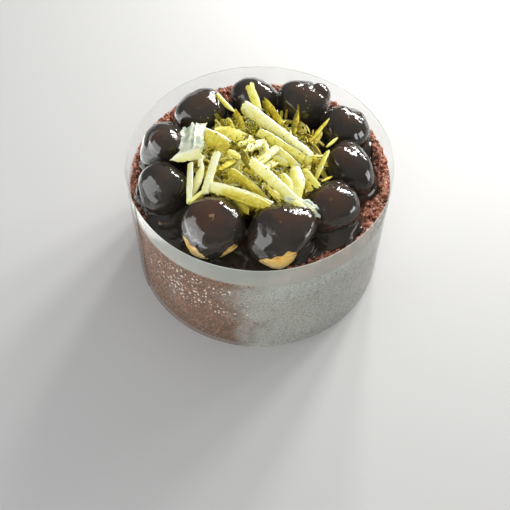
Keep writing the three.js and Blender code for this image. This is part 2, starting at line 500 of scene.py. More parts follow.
def choux_material():
    m, t, b = material("choux_pastry", Roughness=0.55, Specular_IOR_Level=0.4)
    where = coordinates(t)
    patch = tex_noise(t, where, 75.0, 4.0, 0.6, 0.6)
    gold = ramp(
        t,
        patch,
        [(0.30, (0.780, 0.400, 0.090)), (0.43, (0.950, 0.600, 0.160)), (0.58, (0.960, 0.690, 0.270)), (0.75, (0.970, 0.830, 0.480))],
    )
    # paler towards the foot
    apart = node(t, "ShaderNodeSeparateXYZ")
    t.links.new(where, apart.inputs[0])
    rise = arith(t, "ADD", apart.outputs["Z"], arith(t, "MULTIPLY", patch, 0.006))
    gold = mixed(t, span(t, rise, 0.1060, 0.1000, 0.0, 0.55), gold, (0.970, 0.820, 0.430, 1.0))
    # brown streaks that lie level
    lay = node(t, "ShaderNodeMapping")
    lay.inputs["Scale"].default_value = (1.0, 1.0, 3.4)
    t.links.new(where, lay.inputs["Vector"])
    streak = tex_noise(t, lay.outputs["Vector"], 85.0, 3.0, 0.55, 0.7)
    dark = span(t, streak, 0.54, 0.66, 0.0, 0.85)
    t.links.new(mixed(t, dark, gold, (0.480, 0.170, 0.035, 1.0)), b.inputs["Base Color"])
    bump(t, b, tex_noise(t, where, 420.0, 4.0), 0.0006, 0.5)
    return m


def shaving_material():
    m, t, b = material(
        "pale_shavings", Roughness=0.42, Specular_IOR_Level=0.45, Subsurface_Weight=0.15, Subsurface_Scale=0.003
    )
    b.inputs["Subsurface Radius"].default_value = (1.0, 0.75, 0.25)
    where = coordinates(t)
    uneven = arith(t, "MULTIPLY", arith(t, "SUBTRACT", tex_noise(t, where, 150.0, 4.0, 0.7, 0.8), 0.5), 1.0)
    # painted light: faces turned up and to the back right, towards the key lights, are painted whiter
    up = node(t, "ShaderNodeVectorMath")
    up.operation = "DOT_PRODUCT"
    up.inputs[1].default_value = (0.42, 0.42, 0.80)
    t.links.new(node(t, "ShaderNodeNewGeometry").outputs["Normal"], up.inputs[0])
    painted_key_light = span(t, up.outputs["Value"], 0.60, 0.96, -0.10, 0.42)
    pale = ramp(
        t,
        arith(t, "ADD", arith(t, "ADD", tone_of(t), uneven), painted_key_light),
        [(0.0, (0.170, 0.150, 0.009)), (0.10, (0.400, 0.290, 0.010)), (0.27, (0.660, 0.550, 0.040)), (0.50, (0.830, 0.775, 0.165)), (0.74, (0.905, 0.900, 0.430)), (1.0, (0.950, 0.960, 0.820))],
    )
    # painted shade: lower pieces are a deeper yellow
    apart = node(t, "ShaderNodeSeparateXYZ")
    t.links.new(where, apart.inputs[0])
    low = span(t, apart.outputs["Z"], 0.104, 0.118, 0.80, 0.0)
    pale = mixed(t, low, pale, (0.400, 0.290, 0.016, 1.0))
    # the thinnest sheets are a darker grey-green: partly the dark under them showing through, partly painted shade
    thin = arith(t, "MULTIPLY", span(t, tone_of(t), 0.94, 0.99), span(t, tex_noise(t, where, 120.0, 3.0, 0.6, 0.6), 0.38, 0.58, 1.0, 0.30))
    t.links.new(mixed(t, thin, pale, (0.440, 0.510, 0.400, 1.0)), b.inputs["Base Color"])
    t.links.new(span(t, tex_noise(t, where, 300.0, 2.0), 0.3, 0.7, 0.32, 0.55), b.inputs["Roughness"])
    # scrape marks of the blade and a slight grain
    bump(t, b, tex_noise(t, where, 520.0, 4.0, 0.65, 1.8), 0.0006, 0.6)
    return m


def core_material():
    m, t, b = material("shavings_core", Roughness=0.6, Specular_IOR_Level=0.35)
    where = coordinates(t)
    # painted shade: the core under the shavings is near black and deep gold, standing for the shade in the hollows
    # between them
    colour = ramp(
        t,
        tex_noise(t, where, 260.0, 4.0, 0.65),
        [(0.34, (0.028, 0.021, 0.002)), (0.50, (0.170, 0.122, 0.006)), (0.68, (0.480, 0.335, 0.016))],
    )
    t.links.new(colour, b.inputs["Base Color"])
    bump(t, b, tex_noise(t, where, 500.0, 4.0), 0.0010, 0.8)
    return m


def nut_material():
    m, t, b = material("pistachio_crumb", Roughness=0.62, Specular_IOR_Level=0.35)
    where = coordinates(t)
    colour = ramp(
        t,
        tone_of(t),
        [(0.0, (0.060, 0.062, 0.004)), (0.35, (0.210, 0.200, 0.008)), (0.65, (0.500, 0.440, 0.016)), (1.0, (0.820, 0.680, 0.055))],
    )
    shade = ramp(t, tex_noise(t, where, 1300.0, 2.0), [(0.3, (0.6, 0.6, 0.6)), (0.65, (1.0, 1.0, 1.0))])
    t.links.new(mixed(t, 1.0, colour, shade, "MULTIPLY"), b.inputs["Base Color"])
    bump(t, b, tex_noise(t, where, 1300.0, 2.0), 0.0003, 0.5)
    return m


def film_material():
    m, t, b = material("clear_film", Roughness=0.10, Specular_IOR_Level=0.25)
    m.surface_render_method = "BLENDED"
    where = coordinates(t)
    # a bent copy of the coordinates, so that specks and drops aren't round
    bend = node(t, "ShaderNodeTexNoise")
    bend.inputs["Scale"].default_value = 520.0
    t.links.new(where, bend.inputs["Vector"])
    moved = node(t, "ShaderNodeVectorMath")
    moved.operation = "MULTIPLY_ADD"
    moved.inputs[1].default_value = (0.0034, 0.0034, 0.0034)
    t.links.new(bend.outputs["Color"], moved.inputs[0])
    t.links.new(where, moved.inputs[2])
    bent = moved.outputs["Vector"]
    apart = node(t, "ShaderNodeSeparateXYZ")
    t.links.new(where, apart.inputs[0])
    x, y, z = apart.outputs["X"], apart.outputs["Y"], apart.outputs["Z"]
    turn = arith(t, "ARCTAN2", y, x)
    mist = tex_noise(t, where, 22.0, 4.0, 0.55, 0.3)
    # mistier from the middle of the front round to the right, clearer at the left: haze on the film, with painted light
    # in the paler, thicker mist on the right where the light falls
    side = arith(t, "ADD", arith(t, "MULTIPLY", x, 9.0), arith(t, "MULTIPLY", arith(t, "SUBTRACT", mist, 0.5), 1.5))
    misty = span(t, side, -0.46, 0.30, 0.27, 0.54)
    # spots where crumbs touch the film and show dark through the mist
    touch = tex_cells(t, bent, 330.0)
    spots = span(t, touch.outputs["Distance"], 0.14, 0.36, 0.62, 1.0)
    grit = span(t, tex_noise(t, where, 820.0, 2.0, 0.6), 0.36, 0.56, 0.66, 1.0)
    lower = arith(t, "MULTIPLY", arith(t, "MULTIPLY", misty, spots), grit)
    # a breath thicker near the cake's top edge on the right, also painted light on the lit side
    breath = arith(t, "MULTIPLY", arith(t, "MULTIPLY", span(t, z, 0.062, 0.084), span(t, x, -0.02, 0.03)), span(t, y, 0.02, -0.03))
    lower = arith(t, "ADD", lower, arith(t, "MULTIPLY", breath, 0.16))
    # the band over the cake's top edge: hazy at the front, most at its left, clear elsewhere; the haze at the front is
    # partly a painted reflection
    band = span(t, arith(t, "ADD", z, arith(t, "MULTIPLY", mist, 0.004)), 0.0885, 0.0915)
    front = arith(t, "MULTIPLY", span(t, y, 0.01, -0.06), span(t, x, 0.01, 0.07, 1.0, 0.90))
    clear = arith(t, "ADD", span(t, mist, 0.3, 0.7, 0.05, 0.09), arith(t, "MULTIPLY", front, 0.37))
    alpha = node(t, "ShaderNodeMix")
    alpha.data_type = "FLOAT"
    t.links.new(band, alpha.inputs[0])
    t.links.new(lower, alpha.inputs[2])
    t.links.new(clear, alpha.inputs[3])
    rim = arith(t, "ADD", span(t, z, 0.1072, 0.1079, 0.0, 0.42), span(t, z, 0.0006, 0.0, 0.0, 0.3))
    # the two upright ends of the strip
    for end in (SEAM_START - 360.0, SEAM_START - SEAM_LAP - 360.0):
        off = arith(t, "ABSOLUTE", arith(t, "SUBTRACT", turn, math.radians(end)))
        rim = arith(t, "ADD", rim, span(t, off, 0.0015, 0.0050, 0.45, 0.0))
    total = arith(t, "ADD", alpha.outputs[0], rim, clamp=True)
    # droplets and light crumbs on the inside, thickest at the front left, painted pale as the glints they catch
    clump = span(t, tex_noise(t, where, 75.0, 3.0, 0.6), 0.36, 0.60, 0.55, 1.0)
    left = arith(t, "MULTIPLY", arith(t, "MULTIPLY", span(t, turn, -2.62, -2.25), span(t, turn, -1.52, -2.00)), clump)
    middle = arith(t, "MULTIPLY", span(t, turn, -2.20, -1.75), span(t, turn, -0.95, -1.40))
    high = arith(t, "MULTIPLY", span(t, z, 0.034, 0.055), span(t, z, 0.086, 0.076))
    deep = arith(t, "MULTIPLY", span(t, z, 0.012, 0.035), span(t, z, 0.080, 0.055))
    # size of the cells, share of them filled and how solid: large warm ones, fine pale ones
    shines = []
    for cells, near, far, where_thick, share, solid in (
        (340.0, 0.20, 0.40, arith(t, "MULTIPLY", left, high), 0.80, 1.0),
        (560.0, 0.14, 0.32, arith(t, "MULTIPLY", middle, deep), 0.46, 0.62),
    ):
        drop = tex_cells(t, bent, cells)
        chance = node(t, "ShaderNodeSeparateColor")
        t.links.new(drop.outputs["Color"], chance.inputs[0])
        dot = arith(t, "SUBTRACT", 1.0, span(t, drop.outputs["Distance"], near, far))
        some = arith(t, "GREATER_THAN", arith(t, "ADD", chance.outputs[0], arith(t, "MULTIPLY", where_thick, share)), 1.0)
        shines.append(arith(t, "MULTIPLY", arith(t, "MULTIPLY", dot, some), solid))
    shine = arith(t, "MAXIMUM", shines[0], shines[1])
    t.links.new(arith(t, "MAXIMUM", total, shine), b.inputs["Alpha"])
    plain = ramp(t, mist, [(0.3, (0.620, 0.655, 0.590)), (0.7, (0.730, 0.760, 0.690))])
    # small darker specks in the mist
    fleck = span(t, tex_noise(t, bent, 560.0, 2.0, 0.6), 0.33, 0.50, 0.0, 1.0)
    speck = mixed(t, arith(t, "MAXIMUM", fleck, band), (0.60, 0.62, 0.58, 1.0), (1.0, 1.0, 1.0, 1.0))
    plain = mixed(t, 1.0, plain, speck, "MULTIPLY")
    # the haze takes the brown of the crumbs where it is thin, at the left
    warm = arith(t, "MULTIPLY", span(t, side, 0.02, -0.40), arith(t, "SUBTRACT", 1.0, band))
    plain = mixed(t, warm, plain, (0.360, 0.262, 0.205, 1.0))
    # painted highlight: the droplets and light crumbs are pale pinkish white, as their glints
    t.links.new(mixed(t, shine, plain, (0.980, 0.850, 0.770, 1.0)), b.inputs["Base Color"])
    bump(t, b, tex_noise(t, where, 30.0, 2.0), 0.0006, 0.25)
    return m


CRUMB = crumb_material()
CRUMB_LOOSE = loose_material()
GLAZE = glaze_material()
CHOUX = choux_material()
SHAVING = shaving_material()
HEAP_CORE = core_material()
NUT = nut_material()
FILM = film_material()


def place(ob, slot, *nodes):
    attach(ob, "root")
    if nodes:
        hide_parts(*nodes)
    return ob


# ---------------------------------------------------------------- the crumb-coated body
def bank_height(r, deg):
    return along(BANK, deg) * step01(r, 88, 94)


def body_path():
    """Profile from the middle of the base, up the side and in to the middle of the top."""
    pts = [(0.01, 0), (30, 0), (60, 0), (85, 0), (93, 0), (95.8, 0), (97.2, 0.5), (98.0, 1.4)]
    z = 2.6
    while z < 82.5:
        pts.append((BODY_R, z))
        z += 0.95
    for i in range(1, 9):
        a = i / 8 * math.pi / 2
        pts.append((93.3 + 5 * math.cos(a), 83 + 5 * math.sin(a)))
    r = 92.4
    while r > 62:
        pts.append((r, TOP))
        r -= 0.95
    for r in (56, 48, 38, 24, 10, 0.01):
        pts.append((r, TOP))
    return np.array(pts, float)


def build_body():
    path = body_path()
    sides = 660
    ang = np.arange(sides) / sides * 2 * math.pi
    rows = len(path)
    r = np.repeat(path[:, 0], sides)
    z = np.repeat(path[:, 1], sides)
    a = np.tile(ang, rows)
    deg = np.degrees(a)
    # direction the surface faces, along the profile
    d = np.gradient(path, axis=0)
    nrm = np.stack([d[:, 1], -d[:, 0]], -1)
    nrm /= np.linalg.norm(nrm, axis=1, keepdims=True)
    nr, nz = np.repeat(nrm[:, 0], sides), np.repeat(nrm[:, 1], sides)
    z = z + bank_height(r, deg) * step01(z, 60, 83)
    p = np.stack([r * np.cos(a), r * np.sin(a), z], -1)
    coarse = grain(p, 2.7, 11)
    fine = grain(p, 1.55, 12)
    lumps = noise(p, 9.0, 13)
    up = step01(path[:, 1], 1.0, 6.0).repeat(sides) * step01(r, 2, 60)
    high = up * (1.05 * coarse + 0.75 * fine + 0.45 * lumps - 0.95)
    side = step01(nr, 0.6, 1.0)
    high = np.where(side > 0, np.minimum(high, 0.9 * side + 1.3 * (1 - side)), high)
    r2 = np.clip(r + nr * high, 0.0, 99.15)
    z2 = z + nz * high
    p = np.stack([r2 * np.cos(a), r2 * np.sin(a), z2], -1)
    i = np.arange(rows - 1)[:, None] * sides
    j = np.arange(sides)[None]
    k = (j + 1) % sides
    quads = np.stack([i + j, i + k, i + sides + k, i + sides + j], -1).reshape(-1, 4)
    # one point each at the middle of the base and of the top
    caps_v = np.array([[0, 0, 0], [0, 0, TOP]])
    n = len(p)
    j = np.arange(sides)
    k = (j + 1) % sides
    base = np.stack([np.full(sides, n), k, j], -1)
    last = (rows - 1) * sides
    crown = np.stack([np.full(sides, n + 1), last + j, last + k], -1)
    # painted shade: lighter on grains and lumps that stand up and darker in the gaps between them, darker near the
    # base, and darker on the top where the hollows between loose crumbs lie
    tone = 0.62 * coarse + 0.55 * fine + 0.25 * lumps + 0.12 - 0.30 * step01(-p[:, 2], -40, -6) * side - 0.30 * (1 - side)
    tone = np.concatenate([np.clip(tone, 0, 1), [0.5, 0.5]])
    ob = build("cake_crumb_coat", np.concatenate([p, caps_v]), [quads, base, crown], CRUMB, tone=tone)
    place(ob, "crumb_coat", "cake_body")


def pool_edge(deg):
    return along(POOL, deg)


def build_crumbs():
    """Loose crumbs on the bank, thickest where the bank is widest, and along the top edge."""
    rng = np.random.default_rng(41)
    n = 22000
    deg = rng.uniform(-180, 180, n)
    edge = pool_edge(deg)
    r = edge - 1.8 + (98.4 - edge + 1.8) * rng.power(1.4, n)
    a = np.radians(deg)
    z = TOP + bank_height(r, deg) - np.clip(r - 94.5, 0, 4) ** 2 * 0.16
    p = np.stack([r * np.cos(a), r * np.sin(a), z], -1)
    size = 0.50 + 1.15 * rng.beta(1.2, 2.4, n)
    # no crumb reaches the film
    keep = (r + size < 99.2) & (np.abs(r) > 60)
    wide = np.clip((98.4 - edge) / 9, 0.16, 1)
    keep &= rng.uniform(0, 1, n) < wide
    # in clumps with dark hollows between them
    clump = noise(p, 4.6, 5) + 0.6 * noise(p, 2.6, 6)
    keep &= rng.uniform(-0.60, 0.38, n) < clump
    p, size, clump = p[keep], size[keep], clump[keep]
    p[:, 2] += 0.25 + 2.0 * np.clip(clump, -0.3, 0.8) + size * 0.3
    most = 8600
    p, size, clump = p[:most], size[:most], clump[:most]
    v, f = bits(rng, p, size, jag=0.34)
    # painted shade: crumbs low in the hollows between clumps are darker, those high on the clumps paler; the rest of
    # the tone is random
    tone = np.clip(rng.normal(0.48, 0.28, len(p)) + 0.30 * clump, 0, 1)
    ob = build("loose_crumbs", v, f, CRUMB_LOOSE, smooth=False, tone=np.repeat(tone, 12))
    place(ob, "crumb_coat")


# ---------------------------------------------------------------- puffs and glaze
# swellings and flats of a puff: puff, direction deg, height angle deg, mm out, spread deg
SWELL = [
    (0, 0, 90, -0.9, 35), (0, 165, -15, 0.9, 30), (0, 70, 34, -2.2, 48), (0, -50, -28, -0.8, 30), (0, -139, 34, -1.6, 34), (0, -128, -28, 2.4, 26),
    (1, -38, -18, -8.0, 30), (1, 25, 24, 4.0, 30), (1, 178, 12, 3.4, 48), (1, -152, -20, 3.0, 28), (1, -108, -36, 3.0, 34),
    (1, 70, 65, -1.0, 30), (1, -139, 34, -2.4, 36),
    (2, -65, -30, -4.0, 36), (2, 125, 45, -2.0, 34), (2, 80, 25, 1.0, 25),
    (3, 30, 28, -4.4, 38), (3, -2, 8, -3.2, 30), (3, -48, -20, 3.2, 34), (3, 100, 25, 1.6, 28), (3, 170, 60, -1.2, 30),
    (4, 75, 55, -2.4, 20), (4, 120, 30, 1.4, 24), (4, -60, 20, -1.2, 26),
    (5, 0, 90, -2.8, 42), (5, 155, 35, 2.0, 28), (5, 85, 45, -3.6, 44), (5, 15, 15, -2.2, 34),
    (6, 75, 44, -4.2, 46), (6, 185, 10, -1.0, 34), (6, 30, 25, -1.8, 30),
    (7, 0, 90, -2.4, 46), (7, 160, 24, -2.6, 40), (7, 110, 42, -3.0, 44), (7, 62, 12, 1.6, 28),
    (8, 170, 10, -0.8, 40), (8, -142, -16, 3.6, 32), (8, 30, 30, -2.0, 40),
    (9, -115, -20, 5.4, 44), (9, 45, 28, -4.6, 46), (9, -136, 28, -4.8, 48), (9, 170, 10, 1.4, 30),
]
# small drops and bubbles on the pool: x, y, height of the middle, radius
DROPS = [
    (73.8, -51.3, 90.0, 3.0), (-8.8, -75.4, 89.8, 1.6), (-12.3, -64.5, 90.0, 1.3), (-18.5, -84.9, 89.6, 1.7),
    (33.3, -66.6, 89.8, 1.6), (31.1, -70.1, 89.8, 1.3), (36.1, -72.8, 89.6, 1.8), (-28.3, -79.2, 89.8, 1.5),
    (-50.0, -79.0, 89.6, 1.6), (-57.0, -72.0, 89.7, 1.3), (39.0, -76.0, 89.5, 1.4), (-88.0, -12.0, 89.8, 1.8),
    (12.0, -90.0, 89.6, 1.5), (87.0, 16.0, 90.2, 2.0), (30.0, 84.0, 89.8, 1.8), (-40.0, 84.0, 89.8, 1.6),
]
# thick runs of glaze beside a puff: puff, direction deg, how far out, height of its
# middle over the top, half width, half height, softness of the crease
RUNS = [
    (8, -90, 5.8, 24.2, 13.0, 12.6, 0.9), (8, -172, 14.0, 2.5, 9.5, 5.0, 1.2), (8, -148, 15.0, 3.5, 9.0, 7.0, 0.9),
    (9, 166, 8.2, 4.4, 15.6, 8.2, 0.8), (9, -132, 9.0, 3.6, 14.2, 7.0, 0.9), (9, -104, 17.0, 1.0, 11.5, 4.6, 1.6),
    (9, -168, 15.0, 2.0, 7.5, 5.0, 1.2), (9, 100, 10.0, 9.0, 12.0, 9.0, 1.4),
    (0, 166, 5.5, 4.0, 18.6, 10.5, 1.2), (0, -178, 9.0, 1.5, 15.0, 5.0, 1.4), (0, 15, 8.0, 3.0, 15.0, 9.0, 2.4),
    (1, 160, 8.0, 4.0, 15.4, 12.0, 2.2), (1, 8, 12.0, 3.0, 12.5, 7.0, 1.8),
    (2, -22, 6.5, 4.6, 15.8, 8.2, 0.8), (2, -58, 8.0, 2.8, 15.0, 6.0, 0.9), (2, -10, 13.0, 1.6, 11.0, 4.4, 1.2),
    (3, -46, 8.6, 4.6, 15.8, 9.0, 0.9), (3, -8, 8.0, 3.4, 12.6, 8.0, 0.8), (3, 30, 9.0, 3.0, 11.5, 6.0, 1.2),
    (3, -158, 5.7, 25.6, 12.7, 12.2, 0.9), (4, 125, 5.7, 23.8, 10.0, 10.0, 0.8), (5, 7, 10.6, 25.0, 9.2, 9.0, 0.8),
    (4, -18, 11.0, 3.0, 14.2, 6.8, 0.9), (4, 12, 6.0, 6.0, 15.0, 10.0, 1.0), (4, 60, 8.0, 3.0, 13.0, 7.0, 1.2),
    (5, 24, 6.0, 5.0, 17.0, 9.0, 1.0), (5, 96, 7.5, 3.0, 15.5, 6.5, 1.2), (5, 60, 10.0, 2.0, 13.0, 5.0, 1.2),
    (6, 76, 6.5, 4.0, 15.6, 8.0, 1.0), (6, 118, 8.0, 3.0, 14.6, 6.0, 1.2), (6, 175, 8.0, 8.0, 13.5, 10.0, 2.4),
    (7, 176, 6.0, 4.5, 17.0, 8.6, 0.9), (7, 128, 6.5, 3.0, 16.4, 6.6, 1.2), (7, 62, 8.0, 7.0, 15.0, 9.0, 2.4),
]

# puffs with a thin ridge round the foot, and the directions between which it runs
RIDGES = {1: (-60, 10), 2: (-150, 30), 3: (-80, 50), 4: (-60, 40), 8: (120, 260), 9: (120, 300)}


def swell(i, d):
    """How far puff i stands off its ball in the unit directions d, in mm."""
    out = np.zeros(len(d))
    for k, az, el, amount, spread in SWELL:
        if k == i:
            a, e = math.radians(az), math.radians(el)
            u = np.array([math.cos(e) * math.cos(a), math.cos(e) * math.sin(a), math.sin(e)])
            out += amount * np.exp(-2 * (1 - d @ u) / math.radians(spread) ** 2)
    return out


def ball(p, i):
    """Distance to the glazed outside of puff i, negative inside."""
    _, _, r, flat, seed = PUFFS[i]
    q = (p - CENTRES[i]) / np.array([1, 1, flat])
    size = np.linalg.norm(q, axis=1)
    return size - r - swell(i, q / np.maximum(size, 1e-6)[:, None])


COAT = 1.5  # glaze thickness over the choux

# where a puff's coat stops short: direction deg from the puff's middle, and the height of
# the coat's lower edge over the top of the cake (far under 0 where the coat runs down)
EDGE = {
    0: [(-180, -14), (-174, -8), (-165, 15.5), (-153, 20.6), (-138, 21.0), (-121, 20.6), (-110, 16.6), (-102, 10),
        (-92, -8), (-84, -8), (-76, 13), (-70, 18), (-60, 20.6), (-50, 22.0), (-43, 19), (-37, 8), (-31, -10), (180, -14)],
    1: [(-180, -14), (-150, -12), (-141, 6), (-130, 13.5), (-115, 18.0), (-101, 21.8), (-82, 24.8),
        (-68, 24.4), (-58, 17.0), (-49, -10), (180, -14)],
}


def coat(p, i):
    """Glaze thickness over puff i at each point: full where it runs, under 0 where bare."""
    if i not in EDGE:
        return np.full(len(p), COAT)
    x, y, z = (p - CENTRES[i]).T
    phi = np.degrees(np.arctan2(y, x))
    wob = 0.55 * np.sin(np.radians(phi) * 9 + i * 2.1) + 0.35 * np.sin(np.radians(phi) * 17 + i)
    below = along(EDGE[i], phi) + wob - (p[:, 2] - TOP)  # over 0 where bare
    lip = 0.75 * np.exp(-(((below + 1.5) / 1.3) ** 2))
    t = COAT + lip - (COAT + 1.6) * step01(below, -0.8, 0.5)
    return np.where(below > -5, t, COAT)


def bare_side(i, deg):
    """1 where the foot of puff i has no glaze round it."""
    return step01(along(EDGE[i], deg), -4, 8) if i in EDGE else np.zeros(len(deg))


def glaze_field(p, band):
    x, y, z = p.T
    rho = np.hypot(x, y)
    deg = np.degrees(np.arctan2(y, x))
    d = np.full(len(p), 60.0)
    shoulder = np.zeros(len(p))
    edge = pool_edge(deg) + 0.8 * np.sin(np.radians(deg) * 23) + 0.5 * np.sin(np.radians(deg) * 41 + 1)
    level = TOP + 1.7 + np.clip(along(BANK, deg), 0, 2.2) * 0.55
    pool = smax(z - level, rho - edge, 2.6)
    pool = smax(pool, 36 - rho, 1.0)
    for i, (a, dist, r, flat, seed) in enumerate(PUFFS):
        c = CENTRES[i]
        near = (np.abs(x - c[0]) < r + 14) & (np.abs(y - c[1]) < r + 14)
        if not near.any():
            continue
        q = p[near]
        b = ball(q, i)
        # the shoulder on which the skin has crinkled most as it set
        out = (q - c) @ np.array([0.42, 0.42, 0.80]) / np.maximum(np.linalg.norm(q - c, axis=1), 1)
        shoulder[near] = np.where(b < d[near], step01(out, 0.62, 0.88), shoulder[near])
        b = b + (COAT - coat(q, i))
        dx, dy, h = q[:, 0] - c[0], q[:, 1] - c[1], q[:, 2] - TOP
        phi = np.arctan2(dy, dx)
        bare = bare_side(i, np.degrees(phi))
        # a skirt of glaze round the foot
        reach = (
            r * 0.90 + 2.0
            + 1.4 * np.sin(2 * phi + seed * 1.9)
            + 1.0 * np.sin(3 * phi - seed * 2.7)
            + 0.6 * np.sin(5 * phi + seed * 0.8)
        )
        w = np.hypot(dx, dy)
        skirt = (np.sqrt((w / reach) ** 2 + ((h + 0.5) / 6.0) ** 2) - 1) * 6.0 + 7.0 * bare
        foot = smin(skirt, pool[near], 2.0)
        ridge = np.sqrt((b - 1.1) ** 2 + (foot - 0.9) ** 2) - 0.85 + 0.5 * np.sin(3 * phi + seed)
        b = smin(b, skirt, 2.0)
        # a thin ridge where the coat has run down and stopped
        if i in RIDGES:
            lo, hi = RIDGES[i]
            turn = (np.degrees(phi) - lo) % 360.0
            held = step01(turn, 0, 18) * step01(-turn, lo - hi, lo - hi + 18)
            b = smin(b, ridge + 3.0 * (1 - held) + 7.0 * bare, 0.5)
        for k, az, out, high, half, tall, crease in RUNS:
            if k != i:
                continue
            ox, oy = out * math.cos(math.radians(az)), out * math.sin(math.radians(az))
            run = np.sqrt(((dx - ox) / half) ** 2 + ((dy - oy) / half) ** 2 + ((h - high) / tall) ** 2)
            b = smin(b, (run - 1) * min(half, tall) + 7.0 * bare, crease)
        d[near] = smin(d[near], b, 2.4)
    d = smin(d, pool, 2.8)
    for ox, oy, oz, size in DROPS:
        near = (np.abs(x - ox) < size + 4) & (np.abs(y - oy) < size + 4) & (z < oz + size + 4)
        if near.any():
            q = p[near] - np.array([ox, oy, oz])
            d[near] = smin(d[near], np.linalg.norm(q, axis=1) - size, 0.7)
    d = np.maximum(d, TOP - 1.5 - z)
    if band is None:
        close = np.abs(d) < 3.0
    else:
        close = np.abs(d) < band + 1.9
    if close.any():
        q = p[close]
        lump = 0.70 * noise(q, 19.0, 21) + 0.44 * noise(q, 9.5, 22)
        # wrinkles in the setting skin, in patches
        patch = step01(noise(q, 14.0, 23), -0.05, 0.35)
        wrinkle = 0.15 * patch * noise(q * np.array([1.0, 1.0, 0.8]), 3.4, 24)
        crinkle = np.abs(noise(q * np.array([1.0, 0.8, 1.2]), 5.4, 25)) + 0.5 * noise(q, 3.0, 26)
        d[close] += lump + wrinkle + 0.52 * shoulder[close] * step01(noise(q, 11.0, 27), -0.30, 0.12) * crinkle
    return d


def glaze_limits(p, band):
    """The glaze, kept off the film."""
    d = glaze_field(p, band)
    return np.maximum(d, np.hypot(p[:, 0], p[:, 1]) - 99.0)


def build_glaze():
    step = 1.04
    v, f = surface(glaze_limits, (-100.5, -100.5, TOP - 3.0), (100.5, 100.5, 133.0), step, 3)
    ob = build("glaze_coat", v, f, GLAZE)
    place(ob, "chocolate_glaze")


def build_choux():
    for i, (a, dist, r, flat, seed) in enumerate(PUFFS):
        levels = 5 if i < 2 else 4
        v, f = round_mesh(levels)
        c = CENTRES[i]
        scale = np.array([1, 1, flat])
        base = v * (r - COAT) * scale + c
        lump = 0.70 * noise(base, 19.0, 21) + 0.44 * noise(base, 9.5, 22)
        fold = 0.40 * noise(base * np.array([1, 1, 1.6]), 4.2, 60 + seed) + 0.30 * noise(base, 6.5, 80 + seed)
        # choux spreads a little under the coat's edge
        foot = step01(-v[:, 2], -0.30, 0.30) * step01(-v[:, 2], 1.3, 0.55)
        length = r - COAT + swell(i, v) - lump + fold - 0.15 + (1.3 if i < 2 else 0.3) * foot
        p = v * length[:, None] * scale + c
        p[:, 2] = np.maximum(p[:, 2], TOP + 0.25)
        ob = build("choux_puff_%02d" % (i + 1), p, f, CHOUX)
        place(ob, "choux_pastry", "profiterole_%02d" % (i + 1))


# ---------------------------------------------------------------- the heap of shavings
# how far out the heap's core reaches: direction deg, distance from the axis
CORE = [(-180, 47), (-120, 46), (-60, 47), (-20, 46), (10, 41), (35, 34), (62, 31), (90, 35), (118, 43), (150, 47), (180, 47)]
CORE_TOP, CORE_FALL = 118.5, 9.5


def core_reach(a):
    return along(CORE, np.degrees(a)) + 1.4 * np.sin(3 * a + 1) + 1.1 * np.sin(7 * a)


def core_height(x, y):
    r = np.hypot(x, y)
    reach = core_reach(np.arctan2(y, x))
    z = CORE_TOP - CORE_FALL * (np.minimum(r, 46) / 46) ** 2
    return np.where(r < reach, z, z - (r - reach) * 6)


def heap_height(x, y):
    """Top of what carries the shavings: the core or a puff's shoulder."""
    x, y = np.asarray(x, float), np.asarray(y, float)
    z = np.maximum(core_height(x, y), TOP)
    for (a, dist, r, flat, _), c in zip(PUFFS, CENTRES):
        q = (x - c[0]) ** 2 + (y - c[1]) ** 2
        z = np.maximum(z, np.where(q < r * r, c[2] + flat * np.sqrt(np.maximum(r * r - q, 0)), 0))
    return z


def build_core():
    rng_rows, sides = 34, 150
    t = np.linspace(0, 1, rng_rows)
    ang = np.arange(sides) / sides * 2 * math.pi
    tt, aa = np.repeat(t, sides), np.tile(ang, rng_rows)
    reach = core_reach(aa)
    top = tt < 0.72
    r = np.where(top, reach * tt / 0.72, reach - (tt - 0.72) / 0.28 * 5)
    brow = CORE_TOP - CORE_FALL * (np.minimum(reach, 46) / 46) ** 2
    z = np.where(
        top, CORE_TOP - CORE_FALL * (np.minimum(r, 46) / 46) ** 2, brow - (tt - 0.72) / 0.28 * (brow - TOP - 0.4)
    )
    p = np.stack([r * np.cos(aa), r * np.sin(aa), z], -1)
    p[:, 2] += np.where(tt < 0.98, 0.9 * noise(p, 6.0, 31) + 0.8 * grain(p, 3.2, 32) - 0.8, 0)
    p[:, 2] = np.maximum(p[:, 2], TOP + 0.3)
    i = np.arange(1, rng_rows - 1)[:, None] * sides
    j = np.arange(sides)[None]
    k = (j + 1) % sides
    quads = np.stack([i + j, i + sides + j, i + sides + k, i + k], -1).reshape(-1, 4)
    n = len(p)
    j = np.arange(sides)
    k = (j + 1) % sides
    crown = np.stack([np.full(sides, n), sides + j, sides + k], -1)
    last = (rng_rows - 1) * sides
    base = np.stack([np.full(sides, n + 1), last + k, last + j], -1)
    caps = np.array([[0, 0, p[sides:, 2].max() - 0.6], [0, 0, TOP + 0.3]])
    used = np.concatenate([p, caps])
    # the first row lies on the axis and isn't used
    used = np.delete(used, np.arange(sides), 0)
    ob = build("shavings_core", used, [quads - sides, crown - sides, base - sides], HEAP_CORE)
    place(ob, "pale_shavings")


